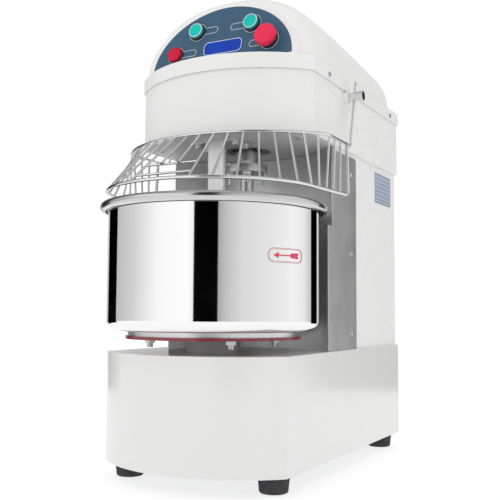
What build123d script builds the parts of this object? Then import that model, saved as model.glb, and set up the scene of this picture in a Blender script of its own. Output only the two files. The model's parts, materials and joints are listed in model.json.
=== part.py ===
"""Spiral dough mixer of the 20-litre class, modelled piece by piece in millimetres.

The origin is on the floor under the centre of the footprint. +Z is up, the machine's front faces -Y,
and +X is the operator's right when facing the machine's back, so the mid plane is X = 0.
"""
import os
from math import acos, atan2, cos, exp, pi, radians, sin, sqrt, tan

from build123d import *

# ---------------------------------------------------------------- driving dimensions
SHEET = 2.0                 # wall of the white sheet casings
GAP = 0.3                   # clearance between pieces that move past each other
FOOT_HEIGHT = 28.0

# Base, column and head casings
BODY_HALF_WIDTH = 172.3
BODY_BACK_Y = 335.0
BASE_CORNER_Y = -227.0      # where the base's sides end and its bowed front begins
BASE_BOW = 72.0
BASE_BOTTOM_Z = FOOT_HEIGHT
BASE_TOP_Z = 213.0
COLUMN_HALF_WIDTH = 166.0
COLUMN_BACK_Y = 333.0
HEAD_CORNER_Y = -125.6
HEAD_BOW = 77.3
HEAD_BOTTOM_Z = 580.4
HEAD_TOP_Z = 712.0          # the casing's walls reach up inside the hood's lip
LIP_BOTTOM_Z = 690.0
LIP_TOP_Z = 718.0
LIP_OUTSET = 3.2
LIP_WALL = 2.8
LIP_ROUND = 6.0

# Hood dome above the lip
DOME_HALF_WIDTH = 166.0
DOME_HEIGHT = 139.3
DOME_POWER = 2.36           # roundness of its superelliptic section
DOME_CREST_Y = -120.0
DOME_FALL = 30.7            # how far the crest has fallen 400 mm behind DOME_CREST_Y
DOME_SWELL_Y = -130.0       # the cheeks and crest swell out backwards from here
DOME_SWELL_RUN = 22.5
DOME_NARROW = 13.5          # how much narrower and lower the dome is before it swells
DOME_LOW = 36.3
DOME_BACK_Y = 330.0
DOME_BACK_ROUND = 52.0
DOME_WALL = 4.0

# Control face: a flat surface tilted back, cut across the front of the dome behind a ledge
FACE_Y = -144.65
FACE_Z = 722.0
FACE_TILT = 12.5
PANEL_HALF_WIDTH = 140.9
PANEL_HEIGHT = 111.3
PANEL_POWER = 1.94
PANEL_THICK = 1.5
# Controls as (offset to the right, distance up the face)
LAMP_AT = (-96.5, 29.5)
FAST_AT = (-55.2, 70.2)
SLOW_AT = (57.5, 69.0)
STOP_AT = (95.3, 30.7)
CONTROLS_AT = (LAMP_AT, FAST_AT, SLOW_AT, STOP_AT)
BADGE_AT = (2.3, 31.5)
BADGE_SIZE = (80.0, 28.0, 10.0)     # width, height and corner radius
BADGE_THICK = 0.9

# Controls' radii, and the distances of their backs and fronts in front of the face
CONTROL_HOLE = 15.8
COLLAR_RADIUS = 15.6
COLLAR_BACK = -10.0
CAP_RADIUS = 14.0
CAP_SPAN = (-8.5, 9.8)
LENS_RADIUS = 14.2
LENS_SPAN = (3.2, 8.2)
MUSHROOM_RADIUS = 20.0
MUSHROOM_SPAN = (11.6, 23.6)
STEM_RADIUS = 11.7
CAP_STEM_BACK = -13.0
STOP_STEM_BACK = -11.0
CONTACT_FRONT = -17.5

# Vertical shaft axes, as (x, y)
BOWL_AXIS = (0.0, -157.0)
SPIRAL_AXIS = (0.0, -39.0)
JACK_AXIS = (60.0, 130.0)
COUNTER_AXIS = (0.0, 30.0)
MOTOR_AXIS = (-70.0, 235.0)

# Bowl and turntable
BOWL_RADIUS = 182.0
BOWL_WALL = 1.5
BOWL_BOTTOM_Z = 249.0
BOWL_BASE_ROUND = 18.0
RIM_RADIUS = 188.5
RIM_BEAD = 7.5
RIM_Z = 457.0
TURNTABLE_Z = 236.0
TURNTABLE_RADIUS = 150.0
TURNTABLE_THICK = 5.0
BASE_RING_RADIUS = 146.0
BOWL_BOLT_RADIUS = 110.0
HUB_RADIUS = 47.0
BOWL_SHAFT_RADIUS = 20.0

# Splash plate radii about the bowl's axis, below and above the ledge that clears the rim
SPLASH_RADIUS_LOW = 199.4
SPLASH_RADIUS_HIGH = 210.4
SPLASH_LEDGE_Z = 435.0
SPLASH_TOP_Z = 574.0
SPLASH_FLANGE_BACK_Y = 92.0
SPLASH_THICK = 1.2
SPLASH_SCREW_Y = 68.0
SPLASH_SCREW_Z = (244.0, 393.0, 542.0)

# Spiral
SPIRAL_FLANGE_Z = 546.0
SPIRAL_FLANGE_RADIUS = 38.0
SPIRAL_BOLT_RADIUS = 31.0
SPIRAL_BOLT_PHASE = 28.0
SPIRAL_SHAFT_RADIUS = 17.5
HOOK_ROD_RADIUS = 11.0
HOOK_COIL_RADIUS = 45.0
HOOK_TOP_Z = 452.0
HOOK_BOTTOM_Z = 270.0
HOOK_START_ANGLE = 200.0
HOOK_STEP_ANGLE = 30.0
HOOK_STEPS = 17

# Guard, its pivot axis runs along X through (PIVOT_Y, PIVOT_Z)
PIVOT_Y = 24.0
PIVOT_Z = 678.0
PIVOT_RADIUS = 8.0
GUARD_ARM_X = 190.0
GUARD_UPPER_Z = 577.0
GUARD_UPPER_OFFSET = 24.0   # from the head's bowed front
GUARD_SIDE_X = 200.0
GUARD_LOWER_Z = 486.0
GUARD_LOWER_RADIUS = 190.0
GUARD_LOWER_Y = -147.0
GUARD_REAR_Y = -41.0
GUARD_WIRE_PITCH = 25.0
GUARD_WIRE_COUNT = 12       # on each side of the mid plane
GUARD_CORNER_ROUND = 30.0
GUARD_LOWER_FLARE = radians(6.6)    # the lower ring's sides spread backwards
GUARD_ARM_LEAN = 0.345      # how far the arms lean back for each millimetre up
FEED_RODS = (0.66, 0.87)    # how far down the wires the feed window's two cross rods sit
RING_ROD_UPPER = 2.5
RING_ROD_LOWER = 3.0
WIRE_ROD = 2.0

# Drive train: teeth and chain pitches give the ratios between the shafts
SMALL_PITCH = 9.525
LARGE_PITCH = 12.7
BOWL_TEETH = 77
COUNTER_SMALL_TEETH = 11
COUNTER_LARGE_TEETH = 40
JACK_LOWER_TEETH = 12
JACK_UPPER_TEETH = 15
SPIRAL_TEETH = 35
BOWL_CHAIN_Z = 121.0
TRANSFER_CHAIN_Z = 75.0
SPIRAL_CHAIN_Z = 668.0
BELT_Z = 701.0
BELT_SPACING = 12.0
MOTOR_PULLEY_RADIUS = 32.0  # outer; the belts' pitch circle is 2 mm inside it
JACK_PULLEY_RADIUS = 92.0
JACK_SHAFT_RADIUS = 12.5
COUNTER_SHAFT_RADIUS = 10.0
MOTOR_SHAFT_RADIUS = 12.5
CHASSIS_TOP_Z = BASE_BOTTOM_Z + 5.0
HEAD_PLATE_Z = HEAD_BOTTOM_Z + SHEET
HEAD_PLATE_THICK = 6.0

# Feet, divider bar, cable gland and the places of the fasteners
FEET_Y = (-202.0, 303.0)
FEET_AT = [(x, y) for x in (-138.0, 138.0) for y in FEET_Y]
BAR_Y = -149.0
BAR_BOLTS = [(x, y) for x in (-38.0, 38.0) for y in (-153.0, -117.0)]
GLAND_X = -105.0
GLAND_Z = 92.0
REAR_SCREWS = [(x, z) for x in (-150.0, 150.0) for z in (235.0, 396.0, 558.0)]
UNDERSIDE_SCREWS = [(x, y) for x in (-141.0, 141.0) for y in (-118.0, 318.0)]
HOOD_SCREW_Y = (-62.0, 276.0)
HOOD_SCREW_Z = 699.5

STANDING = (Align.CENTER, Align.CENTER, Align.MIN)
HANGING = (Align.CENTER, Align.CENTER, Align.MAX)


# ---------------------------------------------------------------- general helpers
def at(axis, z=0.0):
    """Location on a vertical shaft axis at a height."""
    return Pos(axis[0], axis[1], z)


def tube(radius, bore, z_low, z_high, axis=(0.0, 0.0)):
    """Vertical round piece from one height to another, with an optional bore."""
    height = z_high - z_low
    body = Cylinder(radius, height)
    if bore > 0:
        body -= Cylinder(bore, height)
    return at(axis, (z_low + z_high) / 2) * body


def block(x_span, y_span, z_span):
    """Box given by its low and high corner on each axis."""
    size = [high - low for low, high in (x_span, y_span, z_span)]
    middle = [(low + high) / 2 for low, high in (x_span, y_span, z_span)]
    return Pos(*middle) * Box(*size)


def bowed_face(half_width, corner_y, back_y, bow, inset=0.0, corner=4.0):
    """Plan outline with straight sides and back and a front bowed outwards, moved inwards by inset."""
    radius = (half_width**2 + bow**2) / (2 * bow)
    centre_y = corner_y - bow + radius
    arc_radius = radius - inset
    width = half_width - inset
    side_y = centre_y - sqrt(arc_radius**2 - width**2)
    front = ThreePointArc((-width, side_y), (0, centre_y - arc_radius), (width, side_y))
    rest = Polyline((width, side_y), (width, back_y - inset), (-width, back_y - inset), (-width, side_y))
    face = make_face([front, rest])
    return fillet(face.vertices(), max(corner - inset, 0.8))


def bowed_prism(shape, z_low, z_high, inset=0.0):
    """Solid on a bowed outline; shape is (half width, corner y, back y, bow)."""
    return extrude(Pos(0, 0, z_low) * bowed_face(*shape, inset=inset), amount=z_high - z_low)


BASE_SHAPE = (BODY_HALF_WIDTH, BASE_CORNER_Y, BODY_BACK_Y, BASE_BOW)
HEAD_SHAPE = (BODY_HALF_WIDTH, HEAD_CORNER_Y, BODY_BACK_Y, HEAD_BOW)


def on_axis(point, direction, piece):
    """Place a piece modelled along +Z so that its +Z points in a direction."""
    return Plane(origin=point, z_dir=direction) * piece


def round_head_screw(shank_radius, length, head_radius, head_height):
    """Screw with a domed, cross-recessed head standing above z = 0 and its shank below."""
    head = Cylinder(head_radius, head_height, align=STANDING)
    head = fillet(head.edges().sort_by(Axis.Z)[-1], head_height * 0.7)
    slot = Box(head_radius, head_radius * 0.25, head_height)
    recess = slot + Rot(0, 0, 90) * slot
    head -= Pos(0, 0, head_height) * recess
    shank = Cylinder(shank_radius, length, align=HANGING)
    return head + shank


def hexagon(across_flats, height):
    """Hexagonal prism standing on z = 0, its corners eased as on a nut."""
    prism = extrude(RegularPolygon(across_flats / 2, 6, major_radius=False), amount=height)
    corner_radius = across_flats / sqrt(3)
    cone = Cone(corner_radius + height * 1.4, corner_radius * 0.93, height * 1.12,
                align=STANDING)
    return prism & cone


def hex_bolt(shank_radius, length, across_flats, head_height, nut_at=None, nut_height=8.0):
    """Hexagon bolt with its head standing on z = 0 and its shank below, with an optional nut."""
    bolt = hexagon(across_flats, head_height)
    bolt += Cylinder(shank_radius, length, align=HANGING)
    if nut_at is not None:
        nut = Pos(0, 0, -nut_at) * (Rot(180, 0, 0) * hexagon(across_flats, nut_height))
        bolt += nut
    return bolt


def polar(axis, radius, angle):
    """Point at a radius and an angle, in degrees, about a vertical axis."""
    return (axis[0] + radius * cos(radians(angle)), axis[1] + radius * sin(radians(angle)))


def pitch_radius(teeth, pitch):
    """Pitch circle radius of a chain sprocket."""
    return pitch / (2 * sin(pi / teeth))


def rod(points, radius, corners):
    """Round rod bent along straight runs with rounded corners."""
    path = FilletPolyline(*points, radius=corners) if corners else Polyline(*points)
    start = Plane(origin=path @ 0, z_dir=path % 0)
    return sweep(start * Circle(radius), path=path)


def straight_rod(start, end, radius):
    """Straight round rod between two points."""
    span = Vector(*end) - Vector(*start)
    cylinder = Cylinder(radius, span.length, align=STANDING)
    return Plane(origin=start, z_dir=span) * cylinder


def ball_bearing(axis, z_low, width, bore, outside):
    """Deep-groove bearing ring pair with recessed shields, as one solid."""
    middle = (bore + outside) / 2
    groove = (outside - bore) * 0.22
    body = tube(outside, bore, z_low, z_low + width, axis)
    recess = tube(middle + groove, middle - groove, 0, 1.0)
    body -= at(axis, z_low) * recess
    body -= at(axis, z_low + width - 1.0) * recess
    return body


# ---------------------------------------------------------------- chains, sprockets and belts
def loop_face(centre_a, radius_a, centre_b, radius_b):
    """Plan outline of a belt around two circles."""
    dx = centre_b[0] - centre_a[0]
    dy = centre_b[1] - centre_a[1]
    angle = atan2(dy, dx)
    lean = acos((radius_a - radius_b) / sqrt(dx * dx + dy * dy))

    def rim(centre, radius, direction):
        return (centre[0] + radius * cos(direction), centre[1] + radius * sin(direction))

    a_left = rim(centre_a, radius_a, angle + lean)
    a_right = rim(centre_a, radius_a, angle - lean)
    b_left = rim(centre_b, radius_b, angle + lean)
    b_right = rim(centre_b, radius_b, angle - lean)
    edges = [ThreePointArc(a_left, rim(centre_a, radius_a, angle + pi), a_right)]
    edges.append(Line(a_right, b_right))
    edges.append(ThreePointArc(b_right, rim(centre_b, radius_b, angle), b_left))
    edges.append(Line(b_left, a_left))
    return make_face(edges)


def loop_band(centre_a, radius_a, centre_b, radius_b, half_height, z_low, thick):
    """Flat band standing on its edge around two circles."""
    outer = loop_face(centre_a, radius_a + half_height, centre_b, radius_b + half_height)
    inner = loop_face(centre_a, radius_a - half_height, centre_b, radius_b - half_height)
    return extrude(Pos(0, 0, z_low) * (outer - inner), amount=thick)


def roller_chain(centre_a, teeth_a, centre_b, teeth_b, pitch, z_middle):
    """Chain as its two rows of link plates, tied by the rollers of the free spans."""
    radius_a = pitch_radius(teeth_a, pitch)
    radius_b = pitch_radius(teeth_b, pitch)
    plate_half_height = pitch * 0.42
    inside = pitch * 0.3
    plate = pitch * 0.13
    chain = loop_band(centre_a, radius_a, centre_b, radius_b, plate_half_height, z_middle + inside, plate)
    lower = loop_band(centre_a, radius_a, centre_b, radius_b, plate_half_height,
                      z_middle - inside - plate, plate)
    dx = centre_b[0] - centre_a[0]
    dy = centre_b[1] - centre_a[1]
    distance = sqrt(dx * dx + dy * dy)
    angle = atan2(dy, dx)
    lean = acos((radius_a - radius_b) / distance)
    span = sqrt(distance**2 - (radius_a - radius_b) ** 2)
    roller = pitch * 0.26
    clear_a = sqrt((radius_a + 2.2 * roller) ** 2 - radius_a**2)
    clear_b = sqrt((radius_b + 2.2 * roller) ** 2 - radius_b**2)
    count = int((span - clear_a - clear_b) / pitch)
    rollers = []
    for side in (-1, 1):
        direction = angle + side * lean
        start = (centre_a[0] + radius_a * cos(direction), centre_a[1] + radius_a * sin(direction))
        end = (centre_b[0] + radius_b * cos(direction), centre_b[1] + radius_b * sin(direction))
        for index in range(count + 1):
            share = ((span + clear_a - clear_b) / 2 + (index - count / 2) * pitch) / span
            x = start[0] + (end[0] - start[0]) * share
            y = start[1] + (end[1] - start[1]) * share
            rollers.append(tube(roller, 0, z_middle - inside, z_middle + inside, (x, y)))
    return chain + [lower] + rollers


def sprocket(axis, teeth, pitch, z_middle, bore, hub_radius=0.0, hub_low=0.0, hub_high=0.0):
    """Toothed disc with roller seats, and an optional hub along the shaft."""
    seat = pitch * 0.34
    circle = pitch_radius(teeth, pitch)
    disc = Circle(circle + pitch * 0.26)
    seats = [Pos(*polar((0, 0), circle, 360 * index / teeth)) * Circle(seat) for index in range(teeth)]
    disc -= seats
    thick = pitch * 0.54
    body = extrude(disc, amount=thick / 2, both=True)
    body = at(axis, z_middle) * body
    if hub_radius:
        body += tube(hub_radius, 0, hub_low, hub_high, axis)
    return body - tube(bore, 0, z_middle - 60, z_middle + 60, axis)


def v_groove(radius, z_middle, axis):
    """Ring that cuts one V groove, wider than the belt that runs in it."""
    profile = Polygon((radius + 1, -5.9), (radius + 1, 5.9), (radius - 8.5, 3.4), (radius - 8.5, -3.4),
                      align=None)
    return at(axis, z_middle) * revolve(Plane.XZ * profile, Axis.Z)


def v_belt(z_middle):
    """Endless belt of trapezoid section around the motor's and the jackshaft's pulleys."""
    face = loop_face(MOTOR_AXIS, MOTOR_PULLEY_RADIUS, JACK_AXIS, JACK_PULLEY_RADIUS)
    path = face.face().outer_wire()
    start = path @ 0
    tangent = path % 0
    outwards = tangent.cross(Vector(0, 0, 1))
    section = Polygon((-0.3, -4.6), (-0.3, 4.6), (-6.3, 2.7), (-6.3, -2.7), align=None)
    plane = Plane(origin=(start.X, start.Y, z_middle), x_dir=outwards, z_dir=tangent)
    return sweep(plane * section, path=Pos(0, 0, z_middle) * path, transition=Transition.RIGHT)


# ---------------------------------------------------------------- base
def make_base_housing():
    """White sheet casing of the base, open below, with its holes in the top and back."""
    shell = bowed_prism(BASE_SHAPE, BASE_BOTTOM_Z, BASE_TOP_Z)
    shell = fillet(shell.edges().group_by(Axis.Z)[-1], 1.8)
    shell -= bowed_prism(BASE_SHAPE, BASE_BOTTOM_Z - 1, BASE_TOP_Z - SHEET, inset=SHEET)
    shell -= tube(44, 0, BASE_TOP_Z - 10, BASE_TOP_Z + 5, BOWL_AXIS)
    shell -= tube(24, 0, BASE_TOP_Z - 10, BASE_TOP_Z + 5, JACK_AXIS)
    shell -= on_axis((GLAND_X, BODY_BACK_Y, GLAND_Z), (0, 1, 0), Cylinder(10.2, 20))
    return shell


def make_base_chassis():
    """Steel floor plate welded to two cross channels above the feet."""
    chassis = bowed_prism(BASE_SHAPE, BASE_BOTTOM_Z, CHASSIS_TOP_Z, inset=SHEET + GAP)
    for y in FEET_Y:
        channel = block((-160, 160), (y - 20, y + 20), (CHASSIS_TOP_Z, 58))
        channel -= block((-161, 161), (y - 16, y + 16), (CHASSIS_TOP_Z - 1, 54))
        chassis += channel
    for foot in FEET_AT:
        chassis -= tube(5.3, 0, 20, 65, foot)
    return chassis


def make_rubber_feet():
    """Four turned rubber feet, narrower at the floor, recessed below for the bolt heads."""
    feet = []
    for foot in FEET_AT:
        cone = Cone(23, 26, FOOT_HEIGHT, align=STANDING)
        cone = fillet(cone.edges().group_by(Axis.Z)[0], 4)
        cone -= tube(5.3, 0, -1, FOOT_HEIGHT + 1) + tube(11, 0, -1, 11)
        feet.append(at(foot) * cone)
    return feet


def make_foot_bolts():
    """Bolts from inside the feet's recesses up through the cross channels, with nuts."""
    bolt = Rot(180, 0, 0) * hex_bolt(5, 58, 17, 6.4, nut_at=47.1)
    return [at(foot, 10.9) * bolt for foot in FEET_AT]


# ---------------------------------------------------------------- bowl and turntable
def make_bowl_bearing_hub():
    """Cast hub on the base top: raised collar, mounting flange below the skin and a long bearing barrel."""
    hub = tube(HUB_RADIUS, 0, BASE_TOP_Z, 235, BOWL_AXIS)
    hub = chamfer(hub.edges().group_by(Axis.Z)[-1], 1.5)
    hub += tube(43.5, 0, 140, BASE_TOP_Z, BOWL_AXIS)
    hub += tube(66, 0, 203, BASE_TOP_Z - SHEET, BOWL_AXIS)
    hub -= tube(26, 0, 139, 236, BOWL_AXIS)
    hub -= tube(34, 0, 139, 161, BOWL_AXIS)
    hub -= tube(34, 0, 214, 236, BOWL_AXIS)
    return hub


def make_bowl_bearings():
    """Ball bearings at the two ends of the bowl hub."""
    return [ball_bearing(BOWL_AXIS, z, 15, BOWL_SHAFT_RADIUS + 0.05, 34) for z in (146, 214)]


def make_bowl():
    """Spun steel bowl with a rounded base and a curled rim."""
    inside = BOWL_RADIUS - BOWL_WALL
    top = RIM_Z
    outline = Pos(BOWL_RADIUS / 2, (BOWL_BOTTOM_Z + top) / 2) * Rectangle(BOWL_RADIUS, top - BOWL_BOTTOM_Z)
    corner = outline.vertices().sort_by(Axis.X)[-2:].sort_by(Axis.Y)[0]
    outline = fillet(corner, BOWL_BASE_ROUND)
    hollow_low = BOWL_BOTTOM_Z + BOWL_WALL
    hollow = Pos(inside / 2, (hollow_low + top + 1) / 2) * Rectangle(inside, top + 1 - hollow_low)
    corner = hollow.vertices().sort_by(Axis.X)[-2:].sort_by(Axis.Y)[0]
    hollow = fillet(corner, BOWL_BASE_ROUND - BOWL_WALL)
    bead = Pos(RIM_RADIUS, RIM_Z) * (Circle(RIM_BEAD) - Circle(RIM_BEAD - BOWL_WALL))
    curl_gap = Pos(RIM_RADIUS - 3.0, RIM_Z - RIM_BEAD + 1) * Rectangle(3, 5)
    profile = (outline - hollow) + (bead - curl_gap)
    return at(BOWL_AXIS) * revolve(Plane.XZ * profile, Axis.Z)


def bowl_bolt_points():
    """Centres of the four bolts that hold the bowl to its turntable."""
    return [polar(BOWL_AXIS, BOWL_BOLT_RADIUS, angle) for angle in (45, 135, 225, 315)]


def make_bowl_base_ring():
    """Steel ring welded under the bowl, recessed for the bolt heads."""
    ring = tube(BASE_RING_RADIUS, 90, TURNTABLE_Z + TURNTABLE_THICK, BOWL_BOTTOM_Z, BOWL_AXIS)
    for point in bowl_bolt_points():
        ring -= tube(5.2, 0, 240, 250, point)
        ring -= tube(10, 0, 243, 250, point)
    return ring


def make_turntable_plate():
    """Red-edged steel plate that the bowl shaft turns."""
    plate = tube(TURNTABLE_RADIUS, 15, TURNTABLE_Z, TURNTABLE_Z + TURNTABLE_THICK, BOWL_AXIS)
    for point in bowl_bolt_points():
        plate -= tube(5.2, 0, 235, 242, point)
    return plate


def make_turntable_bolts():
    """Bolts down through the ring and the plate, with nuts hanging below."""
    bolt = hex_bolt(5, 21, 16, 5.5, nut_at=7.1, nut_height=7)
    return [at(point, 243.05) * bolt for point in bowl_bolt_points()]


def make_bowl_shaft():
    """Shaft through the bowl hub, with a spigot welded into the turntable plate."""
    shaft = tube(BOWL_SHAFT_RADIUS, 0, 98, TURNTABLE_Z, BOWL_AXIS)
    shaft = chamfer(shaft.edges().group_by(Axis.Z)[0], 1.5)
    return shaft + tube(15, 0, TURNTABLE_Z, TURNTABLE_Z + TURNTABLE_THICK, BOWL_AXIS)


def make_bowl_sprocket():
    """Large sprocket keyed on the bowl shaft."""
    wheel = sprocket(BOWL_AXIS, BOWL_TEETH, SMALL_PITCH, BOWL_CHAIN_Z, BOWL_SHAFT_RADIUS, 32, 102, 132)
    for angle in range(0, 360, 60):
        wheel -= tube(20, 0, 110, 130, polar(BOWL_AXIS, 72, angle))
    return wheel


# ---------------------------------------------------------------- column
def make_column_side_panels():
    """Two white side panels, each folded inwards at the back and at the front."""
    panels = []
    for side in (-1, 1):
        wall = sorted((side * COLUMN_HALF_WIDTH, side * (COLUMN_HALF_WIDTH - SHEET)))
        fold = sorted((side * COLUMN_HALF_WIDTH, side * (COLUMN_HALF_WIDTH - 24)))
        heights = (BASE_TOP_Z, HEAD_BOTTOM_Z)
        panel = block(wall, (-20, COLUMN_BACK_Y), heights)
        panel += block(fold, (COLUMN_BACK_Y - SHEET, COLUMN_BACK_Y), heights)
        outer_edges = panel.edges().filter_by(Axis.Z).group_by(Axis.Y)[-1]
        panel = fillet(outer_edges.sort_by(Axis.X)[-1 if side > 0 else 0], 1.5)
        for z in SPLASH_SCREW_Z:
            panel -= on_axis((side * COLUMN_HALF_WIDTH, SPLASH_SCREW_Y, z), (side, 0, 0), Cylinder(2.2, 12))
        panels.append(panel)
    return panels


def splash_edge_y(radius):
    """Where a splash surface of a given radius meets the column's side plane."""
    return BOWL_AXIS[1] + sqrt(radius**2 - COLUMN_HALF_WIDTH**2)


def splash_shell(radius, z_low, z_high):
    """Part of a vertical cylinder about the bowl's axis, between the column's sides."""
    shell = tube(radius + SPLASH_THICK, radius, z_low, z_high, BOWL_AXIS)
    return shell & block((-COLUMN_HALF_WIDTH, COLUMN_HALF_WIDTH), (-60, 100), (z_low, z_high))


def make_column_splash_plate():
    """Curved stainless plate behind the bowl, stepped at the rim, with flanges around the column's sides."""
    plate = splash_shell(SPLASH_RADIUS_LOW, BASE_TOP_Z, SPLASH_LEDGE_Z)
    plate += splash_shell(SPLASH_RADIUS_HIGH, SPLASH_LEDGE_Z, HEAD_BOTTOM_Z - 1)
    ledge = tube(SPLASH_RADIUS_HIGH + SPLASH_THICK, SPLASH_RADIUS_LOW, SPLASH_LEDGE_Z - SPLASH_THICK,
                 SPLASH_LEDGE_Z, BOWL_AXIS)
    plate += ledge & block((-COLUMN_HALF_WIDTH, COLUMN_HALF_WIDTH), (-60, 100), (430, 440))
    low_y = splash_edge_y(SPLASH_RADIUS_LOW)
    high_y = splash_edge_y(SPLASH_RADIUS_HIGH)
    outline = Polygon((low_y, BASE_TOP_Z + GAP), (SPLASH_FLANGE_BACK_Y, BASE_TOP_Z + GAP),
                      (SPLASH_FLANGE_BACK_Y, SPLASH_TOP_Z), (high_y, SPLASH_TOP_Z),
                      (high_y, SPLASH_LEDGE_Z), (low_y, SPLASH_LEDGE_Z), align=None)
    corner = outline.vertices().sort_by(Axis.Y)[-2:].sort_by(Axis.X)[-1]
    outline = fillet(corner, 8)
    for side in (-1, 1):
        flange = extrude(Plane.YZ * outline, amount=SPLASH_THICK)
        start = COLUMN_HALF_WIDTH if side > 0 else -COLUMN_HALF_WIDTH - SPLASH_THICK
        flange = Pos(start, 0, 0) * flange
        for z in SPLASH_SCREW_Z:
            flange -= on_axis((side * COLUMN_HALF_WIDTH, SPLASH_SCREW_Y, z), (side, 0, 0), Cylinder(2.2, 12))
        plate += flange
    return plate


def make_splash_screws():
    """Round-headed screws through the splash plate's flanges."""
    screws = []
    for side in (-1, 1):
        for z in SPLASH_SCREW_Z:
            point = (side * (COLUMN_HALF_WIDTH + SPLASH_THICK), SPLASH_SCREW_Y, z)
            screws.append(on_axis(point, (side, 0, 0), round_head_screw(2.1, 9, 4.6, 2.4)))
    return screws


def make_rear_panel():
    """Service panel across the column's back, with two ladders of cooling slots."""
    panel = block((-161, 161), (COLUMN_BACK_Y, COLUMN_BACK_Y + 1.6), (BASE_TOP_Z + 2, HEAD_BOTTOM_Z - 2))
    panel = fillet(panel.edges().filter_by(Axis.Y), 5)
    for x in (-60.0, 60.0):
        for index in range(10):
            slot = SlotOverall(70, 6)
            slot = extrude(slot, amount=10, both=True)
            panel -= Pos(x, COLUMN_BACK_Y, 440 + 11 * index) * (Rot(90, 0, 0) * slot)
    for x, z in REAR_SCREWS:
        panel -= on_axis((x, COLUMN_BACK_Y, z), (0, 1, 0), Cylinder(2.2, 12))
    return panel


def make_rear_panel_screws():
    """Screws that hold the service panel to the folds of the side panels."""
    screw = round_head_screw(2.1, 1.6, 4.6, 2.4)
    return [on_axis((x, COLUMN_BACK_Y + 1.6, z), (0, 1, 0), screw) for x, z in REAR_SCREWS]


def make_rating_plate():
    """Blank data plate on the right side panel."""
    x = COLUMN_HALF_WIDTH
    plate = block((x, x + 0.6), (204, 304), (505.5, 568))
    return fillet(plate.edges().filter_by(Axis.X), 2)


def make_cable_gland():
    """Cable gland at the back of the base: body, lock nut inside and dome nut outside, bored for a cable."""
    body = Cylinder(10, 26, align=HANGING)
    body += hexagon(24, 6)
    dome = Cylinder(10.5, 12, align=STANDING)
    dome = fillet(dome.edges().group_by(Axis.Z)[-1], 3)
    body += Pos(0, 0, 6) * dome
    body += Pos(0, 0, -SHEET) * (Rot(180, 0, 0) * hexagon(26, 5))
    body -= Cylinder(4.5, 80)
    return on_axis((GLAND_X, BODY_BACK_Y, GLAND_Z), (0, 1, 0), body)


# ---------------------------------------------------------------- head and hood


def make_head_casing():
    """White tub of the head: bowed walls and a bottom skin with the holes for the shafts."""
    casing = bowed_prism(HEAD_SHAPE, HEAD_BOTTOM_Z, HEAD_TOP_Z)
    casing = fillet(casing.edges().group_by(Axis.Z)[0], 1.8)
    casing -= bowed_prism(HEAD_SHAPE, HEAD_BOTTOM_Z + SHEET, HEAD_TOP_Z + 1, inset=SHEET)
    casing -= tube(44, 0, 575, 590, SPIRAL_AXIS)
    casing -= tube(22, 0, 575, 590, JACK_AXIS)
    casing -= tube(22, 0, 575, 590, MOTOR_AXIS)
    for point in UNDERSIDE_SCREWS:
        casing -= tube(3.2, 0, 575, 590, point)
    for side in (-1, 1):
        casing -= on_axis((side * BODY_HALF_WIDTH, PIVOT_Y, PIVOT_Z), (side, 0, 0), Cylinder(10.1, 20))
        for y in HOOD_SCREW_Y:
            casing -= on_axis((side * BODY_HALF_WIDTH, y, HOOD_SCREW_Z), (side, 0, 0), Cylinder(2.2, 20))
    return casing


def make_head_base_plate():
    """Thick steel plate on the head's bottom skin that carries the bearings."""
    top = HEAD_PLATE_Z + HEAD_PLATE_THICK
    plate = bowed_prism(HEAD_SHAPE, HEAD_PLATE_Z, top, inset=SHEET + 4)
    plate -= tube(30, 0, 575, 600, SPIRAL_AXIS)
    plate -= tube(22, 0, 575, 600, JACK_AXIS)
    plate -= tube(22, 0, 575, 600, MOTOR_AXIS)
    for point in UNDERSIDE_SCREWS:
        plate -= tube(3.2, 0, 575, 600, point)
    return plate


def make_underside_screws():
    """Hexagon bolts up through the head's bottom skin and base plate, with nuts."""
    bolt = Rot(180, 0, 0) * hex_bolt(3, 18, 10, 4, nut_at=SHEET + HEAD_PLATE_THICK + 0.1, nut_height=5)
    return [at(point, HEAD_BOTTOM_Z) * bolt for point in UNDERSIDE_SCREWS]


def arch_points(half_width, height, power):
    """Points over a superelliptic arch, from its right foot to its left foot."""
    steps = 16
    points = []
    for index in range(steps + 1):
        angle = pi * index / steps
        side = 1 if cos(angle) >= 0 else -1
        x = side * half_width * abs(cos(angle)) ** (2 / power)
        points.append((x, height * sin(angle) ** (2 / power)))
    return points


def dome_section(y, inset):
    """Half width and height of the dome's cross-section at a station along the machine."""
    before_swell = exp(-max(0.0, y - DOME_SWELL_Y) / DOME_SWELL_RUN)
    width = DOME_HALF_WIDTH - DOME_NARROW * before_swell
    fall = DOME_FALL * ((y - DOME_CREST_Y) / 400) ** 2
    height = DOME_HEIGHT - fall - DOME_LOW * before_swell
    into_round = max(0.0, (y + inset - (DOME_BACK_Y - DOME_BACK_ROUND)) / DOME_BACK_ROUND)
    drop = DOME_BACK_ROUND * (1 - sqrt(max(0.0, 1 - into_round**2)))
    return width - 0.6 * drop - inset, height - drop - inset


def dome_face(y, inset, base_z):
    """Face of the dome's cross-section: an arch on two legs that reach down to a flat base."""
    width, height = dome_section(y, inset)
    points = [(x, y, LIP_TOP_Z + up) for x, up in arch_points(width, height, DOME_POWER)]
    legs = Polyline(points[-1], (-width, y, base_z), (width, y, base_z), points[0])
    return make_face([Spline(*points), legs])


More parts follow.
